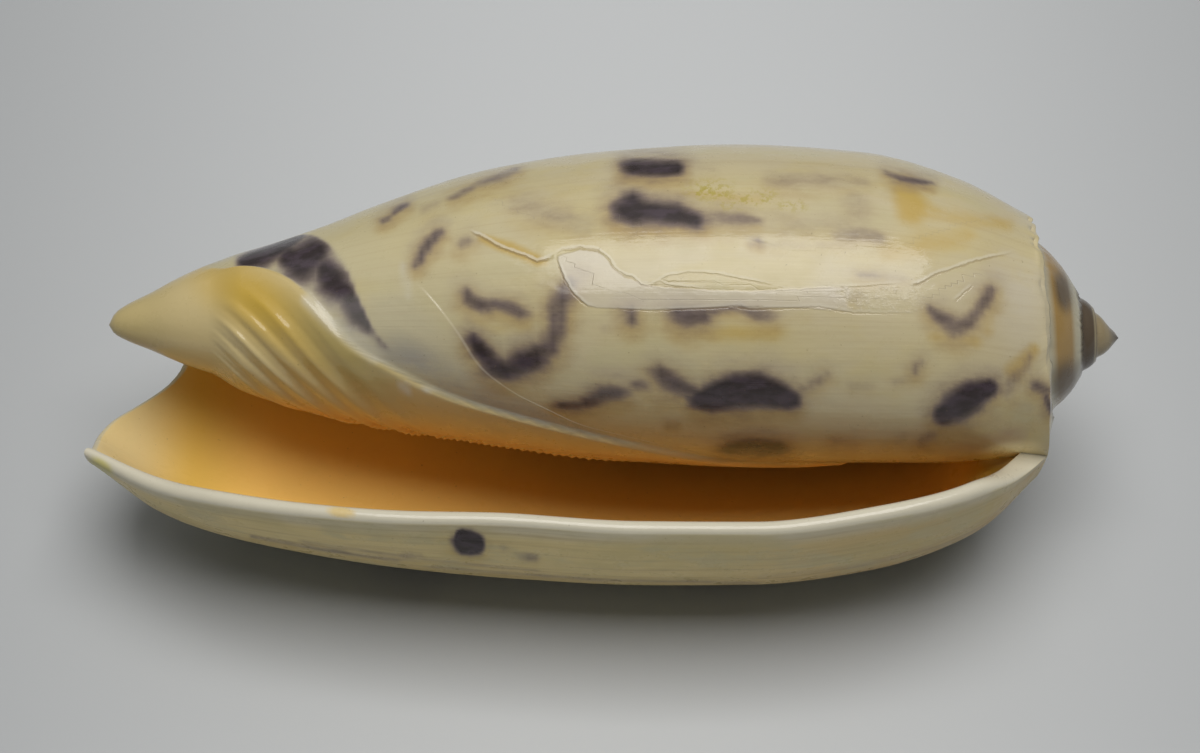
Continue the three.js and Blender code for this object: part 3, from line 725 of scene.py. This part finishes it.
def beside(px, py, places):
    """Signed distance from a line of places, and how far along it the nearest place lies."""
    best = np.full(len(px), 1e9)
    signed, share = np.zeros(len(px)), np.zeros(len(px))
    for n, (start, end) in enumerate(zip(places[:-1], places[1:])):
        away_x, away_y, t = nearest_on(px, py, start, end)
        far = np.hypot(away_x, away_y)
        side = np.sign((end[0] - start[0]) * away_y - (end[1] - start[1]) * away_x)
        nearer = far < best
        best = np.where(nearer, far, best)
        signed = np.where(nearer, side * far, signed)
        share = np.where(nearer, (n + t) / (len(places) - 1), share)
    return signed, share


def inside_outline(px, py, places):
    """Whether each point lies inside a closed outline."""
    odd = np.zeros(len(px), bool)
    for (x0, y0), (x1, y1) in zip(places, places[1:] + places[:1]):
        if y0 != y1:
            odd ^= ((y0 > py) != (y1 > py)) & (px < x0 + (py - y0) * (x1 - x0) / (y1 - y0))
    return odd


def paint_cracks(px, py):
    """Signed distance from the nearest crack, and that crack's strength, fading at its ends."""
    nearest, ink = np.full(len(px), NO_CRACK), np.zeros(len(px))
    for strength, *places in CRACKS:
        signed, share = beside(px, py, places)
        nearer = np.abs(signed) < np.abs(nearest)
        nearest = np.where(nearer, signed, nearest)
        ink = np.where(nearer, strength * between(0, 0.12, 0.88, 1, share), ink)
    return nearest, ink


def lay(ground, colour, share):
    return ground + (np.array(colour) - ground) * np.clip(share, 0, 1)[:, None]


def hidden_strokes(rng):
    """Marks of the same kind for the hidden side, as places along x and round the shell."""
    strokes = []
    for _ in range(HIDDEN_MARKS):
        at_x, at_c = rng.uniform(-15, 20), rng.uniform(40, 232)
        here = np.array([at_x, math.radians(at_c) * HIDDEN_RADIUS, rng.uniform(0.22, 0.68)])
        places = [tuple(here)]
        for _ in range(rng.integers(1, 4)):
            here = here + [rng.uniform(0.3, 1.6), rng.uniform(-0.7, 0.7), rng.uniform(-0.15, 0.12)]
            here[2] = max(here[2], 0.16)
            places.append(tuple(here))
        strokes.append((rng.uniform(0.35, 1.2), *places))
    return strokes


def hidden_band_strokes(rng):
    """Dark blotches of the band where it runs on round the hidden side."""
    strokes = []
    for n in range(HIDDEN_BLOTCHES):
        at_c = 118 + n * 13 + rng.uniform(-3, 3)
        at_x = line(BAND_EDGE, np.array([at_c]))[0] - 1.4
        arc = math.radians(at_c) * HIDDEN_RADIUS
        strokes.append((1.1, (at_x, arc, 0.55), (at_x + 0.8, arc + 0.35, 0.4)))
    return strokes


class Coat:
    """The colours laid on the shell's points so far, and where each point lies."""

    def __init__(self, points, facts, facing):
        self.column, self.x, self.share, self.kind = facts.T
        self.px, self.py = photo_place(points)
        self.facing = facing
        on_wall = (self.kind == OUTER) | ((self.kind == SPIRE) & (self.column < TURN))
        self.wall = on_wall.astype(float)
        self.front = self.wall * between(205, 222, 404, 412, self.column) * smooth(-0.05, 0.12, facing)
        self.lip_side = self.wall * (1 - smooth(50, 62, self.column)) * smooth(-0.25, 0.05, facing)
        self.hidden = self.wall * between(46, 60, 208, 226, self.column)
        self.ground = np.tile(np.array(CREAM), (len(points), 1))

    def lay(self, colour, share):
        self.ground = lay(self.ground, colour, share)

    def patch(self, patches, share):
        for colour, strength, *shape in patches:
            self.lay(colour, share * strength * blot(self.px, self.py, *shape))

    def strokes(self, strokes):
        return paint(self.px, self.py, strokes)


def paint_body(c):
    """Cream, more ivory to the front, with yellow clouds, and tan above the aperture, partly the glaze's own
    tint and partly painted shade.
    """
    c.lay(IVORY, smooth(4, -14, c.x) * 0.7)
    c.patch(CLOUDS, c.front)
    # Tan above the aperture: partly the glaze's tint, partly painted shade darkening the body towards the
    # aperture.
    c.lay(TAN, c.front * 0.9 * smooth(374, 402, c.column) * smooth(-4, 4, c.x))
    c.lay(OCHRE, c.front * 0.55 * smooth(388, 403, c.column) * smooth(-2, 8, c.x))
    c.patch(FAR_END_PATCHES, c.front)


def paint_front_end(c):
    """The banded zone round the front end, the callus and the tip."""
    round_end = c.wall * between(100, 120, 404, 410, c.column)
    c.band = round_end * (1 - smooth(-0.15, 0.25, c.x - line(BAND_EDGE, c.column)))
    over_edge = smooth(-0.12, 0.18, c.x - line(CALLUS_EDGE, c.column))
    c.callus = np.maximum(round_end * smooth(190, 215, c.column) * (1 - over_edge), c.kind == TIP)
    c.lay(BAND_GROUND, c.band * 0.6)
    c.patch(GLAZE_PATCHES, c.front)
    c.lay(CALLUS_CREAM, c.callus)
    c.lay(CALLUS_OLIVE, c.callus * 0.4 * (1 - smooth(-23, -20, c.x)))
    shown = c.callus * smooth(-0.1, 0.2, c.facing)
    c.patch(CALLUS_PATCHES, shown)
    c.lay(PEACH, shown * 0.85 * smooth(362, 400, c.column) * smooth(-19.5, -14, c.x))
    # Painted highlights: glints and a bright ridge line laid in porcelain white.
    c.lay(PORCELAIN, c.front * c.strokes(GLINTS_AND_PALE_SCRATCH))


def paint_inside(c):
    """Orange in the aperture, with painted light and shade: darker at the lip where light falls, full bright
    a little way in as painted light through the thin wall, and painted shade deeper in; pale at the notch
    and along the lip.
    """
    wall = c.kind == INNER
    c.inside = np.maximum(wall, (c.kind == OUTER) * smooth(403, 411, c.column))
    depth = np.where(wall, c.column, np.where(c.column > 400, c.column - 395, 0))
    # Painted shade deep in the aperture, strongest towards the far end.
    painted_shade = 0.35 * smooth(75, 110, depth) + 0.55 * smooth(-12, 4, c.x) * smooth(60, 100, depth)
    # The orange starts darker at the lip, as painted shade against the light there, and turns full bright
    # further in as painted light through the wall.
    deep = np.tile(np.array(LIP_ORANGE), (len(c.x), 1))
    for colour, share in [
            (ORANGE_WITH_PAINTED_LIGHT, smooth(6, 40, depth)),
            (DEEP_PAINTED_SHADE, painted_shade),
            (CALLUS_GOLD, wall * 0.6 * (1 - smooth(-20.5, -16.5, c.x))),
            (NOTCH_CREAM, wall * (1 - smooth(-23.2, -19.9, c.x))),
            (YELLOW, wall * 0.12 * (1 - smooth(1, 5, c.column)) * smooth(12, -20, c.x)),
            (PORCELAIN, wall * 0.8 * (1 - smooth(0, 1, c.column))),
            (CALLUS_GOLD, c.inside * 0.9 * smooth(17.2, 19.2, c.x))]:
        deep = lay(deep, colour, share)
    c.lay(deep, c.inside)


def paint_lip(c):
    """The outside of the lip, its rim and the notch, and the pale knob at the aperture's far end. The rim's
    pale edge is partly its own colour and partly a painted highlight; the knob's cream is brightened as a
    painted highlight.
    """
    on_rim = (c.kind == RIM).astype(float)
    c.lay(LIP_CREAM, c.lip_side * 0.9)
    c.lay(TAN, c.lip_side * (0.35 * smooth(14, 40, c.column) + 0.4 * smooth(0, 17, c.x)))
    # The lip's rim in porcelain white, partly its own pale edge and partly a painted highlight.
    c.lay(PORCELAIN, on_rim * (c.column < 0))
    c.lay(CREAM, on_rim * (c.column >= 0))
    # The knob: cream callus colour, brightened as a painted highlight.
    c.patch(KNOB_PATCH_WITH_HIGHLIGHT, (1 - on_rim) * smooth(-0.2, 0.1, c.facing) * smooth(16, 17, c.x))
    # A pale band beside the rim, partly a painted highlight on the rounded edge.
    c.lay(PORCELAIN, c.lip_side * 0.8 * (1 - smooth(0, 6, c.column)))
    c.patch(LIP_PATCHES, np.maximum(on_rim, c.lip_side) * smooth(-0.3, 0, c.facing))


def paint_spire(c):
    """The spire's whorls, darker towards the tip, with painted shade as dark lines in the channels beside
    the sutures.
    """
    spire = (c.kind == SPIRE) * smooth(TURN - 10, TURN + 10, c.column)
    first = spire * (1 - smooth(880, 920, c.column))
    second = spire * between(880, 920, 1230, 1270, c.column)
    third = spire * smooth(1230, 1270, c.column)
    c.lay(SPIRE_CREAM, first)
    c.lay(SPIRE_ORANGE, first * between(0.22, 0.36, 0.66, 0.8, c.share))
    c.patch(SPIRE_PATCHES, first * smooth(-0.5, 0.1, c.facing))
    c.lay(SPIRE_DARK, second * (1 - 0.8 * smooth(0.8, 0.95, c.share)))
    c.lay(SPIRE_GREY, third)
    # Painted shade: a dark line in the sutural channel at the start of each band.
    c.lay(SPIRE_DARK, spire * 0.7 * (1 - smooth(0.01, 0.07, c.share)))
    c.lay(SPIRE_DARK, third * smooth(1500, 1640, c.column))


def marks_and_stains(c):
    """Fields for the marks and stains: first those in the photograph, then the hidden side's."""
    shown = c.front * np.clip(1 - c.callus, 0, 1)
    bare, unseen = 1 - c.band, c.hidden * (1 - c.band)
    rng = np.random.default_rng(HIDDEN_SEED)
    arc = np.radians(c.column) * HIDDEN_RADIUS
    strokes = hidden_strokes(rng)
    spots = np.maximum.reduce([
        shown * c.strokes(BODY_MARKS),
        shown * c.strokes(spread(BODY_MARKS, *VEIL)),
        shown * c.band * c.strokes(BAND_MARKS),
        c.lip_side * c.strokes(LIP_MARKS),
        unseen * paint(c.x, arc, strokes),
        c.hidden * c.band * paint(c.x, arc, hidden_band_strokes(rng))])
    stain = np.maximum.reduce([
        shown * bare * c.strokes(spread(BODY_MARKS, *STAIN_UNDER)),
        shown * bare * c.strokes(STAINS),
        c.lip_side * 0.8 * c.strokes(spread(LIP_MARKS, *STAIN_UNDER)),
        unseen * paint(c.x, arc, spread(strokes, *HIDDEN_STAIN))])
    return spots, stain


def mended_break(c):
    """Fields for the pale skin over the mended break, which is also a painted reflection of the window
    light, and for the cracks and their strength.
    """
    skin_and_reflection, _ = beside(c.px, c.py, SKIN_REFLECTION_OUTLINE + SKIN_REFLECTION_OUTLINE[:1])
    skin_and_reflection = np.abs(skin_and_reflection) * np.where(inside_outline(c.px, c.py, SKIN_REFLECTION_OUTLINE), 1, -1)
    skin_and_reflection = np.minimum(skin_and_reflection, mix(-FAR_FROM_SKIN_PATCH, -0.3, smooth(620, 870, c.px)))
    skin_and_reflection = np.maximum(np.where(c.front > 0.01, skin_and_reflection, FAR_FROM_SKIN_PATCH), FAR_FROM_SKIN_PATCH)
    crack, ink = paint_cracks(c.px, c.py)
    lip_crack, _ = beside(c.px, c.py, LIP_CRACK)
    on_lip = c.lip_side > 0.5
    crack = np.clip(np.where(on_lip, lip_crack, crack), -NO_CRACK, NO_CRACK)
    ink = np.where(on_lip, 0.9 * (np.abs(c.px - LIP_CRACK_X) < LIP_CRACK_REACH), ink * c.front)
    return skin_and_reflection, crack, ink


def paint_shell(points, facts, facing):
    """Ground colours, and the fields that the material turns into marks, stains, cracks and lines."""
    c = Coat(points, facts, facing)
    for paint_part in (paint_body, paint_front_end, paint_inside, paint_lip, paint_spire):
        paint_part(c)
    spots, stain = marks_and_stains(c)
    skin_and_reflection, crack, ink = mended_break(c)
    fresh = c.wall * (1 - c.callus)
    return {
        "ground": c.ground,
        "growth": np.stack([np.radians(c.column) * GROWTH_RADIUS, c.x, 0 * c.x], -1),
        "spots": spots,
        "stain": stain,
        "skin_and_reflection": skin_and_reflection,
        "crack": crack,
        "ink": ink,
        "fresh": fresh,
        "film": fresh * c.front * smooth(293, 301, c.column),
        "glaze": np.clip((c.x - line(GLAZE_EDGE, c.column)) * 0.75, -9, 9),
        "dirt": c.front * c.strokes(DIRT),
        "lip": c.lip_side * mix(0.35, 1.0, smooth(10, 30, c.column)),
        "gloss": 1 - 0.8 * c.lip_side - 0.75 * c.inside,
    }


def outside_flat(places):
    """How far each place lies outside the triangle that the shell rests on."""
    far = np.zeros(len(places))
    for n, (x0, y0) in enumerate(FLAT_CORNERS):
        x1, y1 = FLAT_CORNERS[(n + 1) % len(FLAT_CORNERS)]
        side = (y1 - y0) * (places[:, 0] - x0) - (x1 - x0) * (places[:, 1] - y0)
        far = np.maximum(far, side / math.hypot(x1 - x0, y1 - y0))
    return far


def store(mesh, name, values):
    """Keeps one of the painted fields on the mesh for its material."""
    kind, slot = {"ground": ("FLOAT_COLOR", "color"), "growth": ("FLOAT_VECTOR", "vector")}.get(
        name, ("FLOAT", "value"))
    if kind == "FLOAT_COLOR":
        values = np.concatenate([values, np.ones((len(values), 1))], 1)
    layer = mesh.attributes.new(name, kind, "POINT")
    layer.data.foreach_set(slot, np.ascontiguousarray(values, np.float32).ravel())


def make_shell():
    points, facts, faces = build_surface()
    world = points + AXIS_AT
    worn = np.minimum(FLAT_RISE * outside_flat(world), FLAT_RISE_END)
    world[:, 2] = np.maximum(world[:, 2], worn)
    mesh = bpy.data.meshes.new("olive_shell")
    mesh.from_pydata((world / 1000).tolist(), [], faces)
    mesh.update()
    mesh.polygons.foreach_set("use_smooth", np.ones(len(mesh.polygons), bool))
    mesh.set_sharp_from_angle(angle=SHARP_ANGLE)
    normals = np.empty(len(mesh.vertices) * 3)
    mesh.vertices.foreach_get("normal", normals)
    view = camera_place() - points
    view /= np.linalg.norm(view, axis=1)[:, None]
    facing = (normals.reshape(-1, 3) * view).sum(1)
    for name, values in paint_shell(points, facts, facing).items():
        store(mesh, name, values)
    shell = bpy.data.objects.new("olive_shell", mesh)
    bpy.context.collection.objects.link(shell)
    return shell


class Nodes:
    """Short calls for building a material's nodes. tint lays colours over the base colour."""

    def __init__(self, name, colour):
        self.material = bpy.data.materials.new(name)
        self.material.use_nodes = True
        self.tree = self.material.node_tree
        self.inputs = self.tree.nodes["Principled BSDF"].inputs
        self.colour = self.attribute(*colour) if isinstance(colour[0], str) else rgba(colour)

    def new(self, kind, **settings):
        node = self.tree.nodes.new("ShaderNode" + kind)
        for setting, value in settings.items():
            setattr(node, setting, value)
        return node

    def put(self, sockets, values):
        for socket, value in zip(sockets, values):
            if hasattr(value, "is_output"):
                self.tree.links.new(value, socket)
            else:
                socket.default_value = value

    def attribute(self, name, output="Fac"):
        return self.new("Attribute", attribute_name=name).outputs[output]

    def place(self):
        return self.new("TexCoord").outputs["Object"]

    def math(self, kind, *values):
        node = self.new("Math", operation=kind)
        self.put(node.inputs, values)
        return node.outputs[0]

    def times(self, first, *others):
        for other in others:
            first = self.math("MULTIPLY", first, other)
        return first

    def plus(self, a, b):
        return self.math("ADD", a, b)

    def vector(self, kind, *values):
        node = self.new("VectorMath", operation=kind)
        self.put(node.inputs, values)
        return node.outputs["Value" if kind == "LENGTH" else "Vector"]

    def noise(self, vector, scale, detail, rough):
        node = self.new("TexNoise")
        self.put([node.inputs[name] for name in ("Vector", "Scale", "Detail", "Roughness")],
                 (vector, scale, detail, rough))
        return node.outputs["Fac"]

    def ramp(self, value, low, high, out_low=0.0, out_high=1.0):
        node = self.new("MapRange", interpolation_type="SMOOTHSTEP")
        self.put(node.inputs, (value, low, high, out_low, out_high))
        return node.outputs[0]

    def line(self, value, near, far):
        """1 where the value is near 0, 0 further away."""
        return self.ramp(self.math("ABSOLUTE", value), near, far, 1.0, 0.0)

    def blend(self, share, a, b):
        node = self.new("Mix", data_type="RGBA")
        self.put((node.inputs[0], node.inputs[6], node.inputs[7]), (share, a, b))
        return node.outputs[2]

    def tint(self, colour, share):
        if not hasattr(colour, "is_output"):
            colour = rgba(colour)
        self.colour = self.blend(share, self.colour, colour)

    def bump(self, height, strength, distance, *normal):
        node = self.new("Bump")
        self.put([node.inputs[name] for name in ("Strength", "Distance", "Height")],
                 (strength, distance, height))
        self.put([node.inputs["Normal"]], normal)
        return node.outputs[0]

    def finish(self, **inputs):
        """Sets the material's inputs, named with underscores for spaces."""
        inputs["Base_Color"] = self.colour
        for name, value in inputs.items():
            self.put([self.inputs[name.replace("_", " ")]], [value])
        return self.material


def rgba(colour):
    return (*colour, 1.0)


def broken_edge(n, field, loose):
    """A painted field with its edge broken up by noise, most where the field is strong."""
    return n.plus(field, n.times(loose, n.ramp(field, 0.0, 0.3, 0.1, 0.5)))


def shell_material():
    n = Nodes("shell_porcelain", ("ground", "Color"))
    growth, plain = n.attribute("growth", "Vector"), n.place()
    millimetres = n.vector("MULTIPLY", plain, (1000.0, 1000.0, 1000.0))
    drawn_out = n.vector("MULTIPLY", plain, (520.0, 1000.0, 1000.0))
    fresh, lip, gloss = n.attribute("fresh"), n.attribute("lip"), n.attribute("gloss")
    glaze, film, ink = n.attribute("glaze"), n.attribute("film"), n.attribute("ink")

    # Ground: cream that drifts between ivory and yellow, with growth lines, strongest near the lip.
    drift = n.noise(drawn_out, 0.3, 4.0, 0.55)
    n.tint(YELLOW, n.times(n.ramp(drift, 0.46, 0.66), fresh, 0.55))
    n.tint(IVORY, n.times(n.ramp(n.noise(drawn_out, 0.42, 5.0, 0.6), 0.5, 0.66), fresh, 0.6))
    stripes = n.noise(n.vector("MULTIPLY", growth, (3.2, 0.07, 1.0)), 1.0, 4.0, 0.65)
    strength = n.plus(n.times(fresh, 0.14), n.times(lip, 0.5))
    n.tint(GROWTH_BROWN, n.times(n.ramp(stripes, 0.46, 0.72), strength))

    # Stains and marks lie under the glaze, so their edges are soft and broken up by noise.
    loose = n.plus(n.noise(drawn_out, 1.25, 5.0, 0.62), -0.5)
    stain = broken_edge(n, n.attribute("stain"), loose)
    mark = broken_edge(n, n.attribute("spots"), loose)
    n.tint(STAIN_OCHRE, n.ramp(stain, 0.06, 0.85, 0.0, 0.85))
    n.tint(VEIL_MAUVE, n.ramp(mark, 0.05, 0.85, 0.0, 0.84))
    mottle = n.ramp(n.noise(drawn_out, 1.9, 3.0, 0.5), 0.36, 0.66)
    n.tint(n.blend(mottle, rgba(INK_BLACK), rgba(INK_VIOLET)), n.ramp(mark, 0.34, 1.12, 0.0, 0.97))

    # The mended break: a thin pale skin, also a painted reflection of the window light, with fine dark and
    # light edges.
    wander = n.times(n.plus(n.noise(millimetres, 2.6, 4.0, 0.65), -0.5), 4.0)
    skin_and_reflection = n.ramp(n.plus(n.attribute("skin_and_reflection"), wander), -0.6, 1.6)
    away = n.plus(n.attribute("crack"), wander)
    crack = n.times(n.line(away, 0.3, 1.7), ink)
    # Pale tint of the skin, partly a painted reflection of the window light.
    n.tint(SKIN_AND_REFLECTION_TINT, n.times(skin_and_reflection, 0.55))
    n.tint(CRACK_PALE, n.times(n.line(n.plus(away, 2.4), 0.4, 2.4), ink, 0.55))
    n.tint(CRACK_BROWN, n.times(crack, 0.6))

    # The clear glaze that spreads from the callus: a milky film, with a painted highlight as a thin bright
    # line along its edge.
    n.tint(GLAZE_FILM, n.times(n.ramp(glaze, -1.2, 0.0, 1.0, 0.0), film, 0.16))
    # Painted highlight along the glaze's edge.
    n.tint(GLAZE_EDGE_HIGHLIGHT, n.times(n.line(glaze, 0.02, 0.10), film, n.ramp(drift, 0.35, 0.6, 0.1, 0.4)))

    # Green-yellow dirt in grains, then small brown specks.
    grains = n.ramp(n.noise(millimetres, 3.2, 4.0, 0.7), 0.46, 0.6)
    n.tint(DIRT_GREEN, n.times(grains, n.attribute("dirt"), 0.8))
    n.tint(SPECK_BROWN, n.times(n.ramp(n.noise(millimetres, 5.5, 2.0, 0.5), 0.72, 0.78), 0.4))

    # Relief: growth lines along the lip, soft waves, and the lifted edges of break and glaze.
    lines = n.noise(n.vector("MULTIPLY", growth, (5.0, 0.08, 1.0)), 1.0, 4.0, 0.6)
    ribs = n.times(lines, n.plus(n.times(fresh, 0.25), n.times(lip, 0.9)))
    lifted = n.plus(n.times(skin_and_reflection, 0.35), n.times(crack, -0.5))
    lifted = n.plus(lifted, n.times(n.ramp(glaze, -0.06, 0.06, 0.4, 0.0), film))
    normal = n.bump(ribs, 0.5, 0.00007)
    normal = n.bump(n.noise(drawn_out, 0.6, 3.0, 0.5), 0.2, 0.0003, normal)
    normal = n.bump(lifted, 0.7, 0.00007, normal)

    wear = n.noise(millimetres, 0.9, 4.0, 0.6)
    return n.finish(
        Roughness=n.ramp(wear, 0.35, 0.75, 0.26, 0.46), IOR=1.5,
        Specular_IOR_Level=n.math("MULTIPLY_ADD", gloss, 0.2, 0.05),
        Coat_Weight=n.times(gloss, 0.5), Coat_Roughness=0.035, Coat_IOR=1.5,
        Normal=normal, Coat_Normal=normal)


def floor_material():
    n = Nodes("pale_floor", FLOOR_GREY)
    plain = n.place()
    away = n.vector("MULTIPLY", n.vector("SUBTRACT", plain, LIGHT_POOL_PLACE), LIGHT_POOL_SHAPE)
    # Painted pool of light: the floor is paler round the shell.
    n.tint(FLOOR_LIGHT_POOL, n.ramp(n.vector("LENGTH", away), 0.1, 1.6, 1.0, 0.0))
    grain = n.bump(n.noise(plain, 900.0, 2.0, 0.5), 0.05, 0.0002)
    return n.finish(Roughness=0.8, Normal=grain)


def make_floor():
    corners = [(-1, -1), (1, -1), (1, 1), (-1, 1)]
    mesh = bpy.data.meshes.new("floor")
    mesh.from_pydata([(x * FLOOR_HALF, y * FLOOR_HALF, 0) for x, y in corners], [], [(0, 1, 2, 3)])
    mesh.materials.append(floor_material())
    floor = bpy.data.objects.new("floor", mesh)
    bpy.context.collection.objects.link(floor)
    return floor


def area_light(name, at, aim, size, power, colour):
    data = bpy.data.lights.new(name, "AREA")
    data.shape = "RECTANGLE"
    data.size, data.size_y = size
    data.energy = power
    data.color = colour
    away = np.array(at) - np.array(aim)
    away /= np.linalg.norm(away)
    side = np.cross((0.0, 1.0, 0.0), away)
    side /= np.linalg.norm(side)
    turn = Matrix([side, np.cross(away, side), away]).transposed().to_4x4()
    lamp = bpy.data.objects.new(name, data)
    lamp.matrix_world = Matrix.Translation(at) @ turn
    bpy.context.collection.objects.link(lamp)


def make_lights():
    """A window overhead, whose reflection is the pale stripe, and a wide soft ceiling behind."""
    area_light("window", (0.08, -0.08, 1.0), (0.08, -0.08, 0.0), (0.8, 0.7), 8.7, WINDOW_WHITE)
    area_light("ceiling", (0.0, 0.62, 1.0), (0.0, 0.0, 0.01), (1.7, 1.15), 2.2, (1.0, 1.0, 1.0))
    world = bpy.data.worlds.new("studio")
    world.use_nodes = True
    background = world.node_tree.nodes["Background"]
    background.inputs["Color"].default_value = rgba(SKY)
    background.inputs["Strength"].default_value = SKY_STRENGTH
    bpy.context.scene.world = world


def make_camera():
    data = bpy.data.cameras.new("photo_camera")
    data.sensor_width = SENSOR_WIDTH
    data.lens = SENSOR_WIDTH * PIXELS_PER_MM * CAMERA_DISTANCE / PHOTO_WIDTH
    data.clip_start = 0.005
    data.clip_end = 20.0
    camera = bpy.data.objects.new("photo_camera", data)
    turn = Matrix(camera_axes()).transposed().to_4x4()
    camera.matrix_world = Matrix.Translation((camera_place() + AXIS_AT) / 1000) @ turn
    bpy.context.collection.objects.link(camera)
    bpy.context.scene.camera = camera


make_camera()
shell = make_shell()
shell.data.materials.append(shell_material())
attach(shell, "root")
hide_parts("shell")
make_floor()
make_lights()
bpy.context.scene.view_settings.view_transform = "Standard"
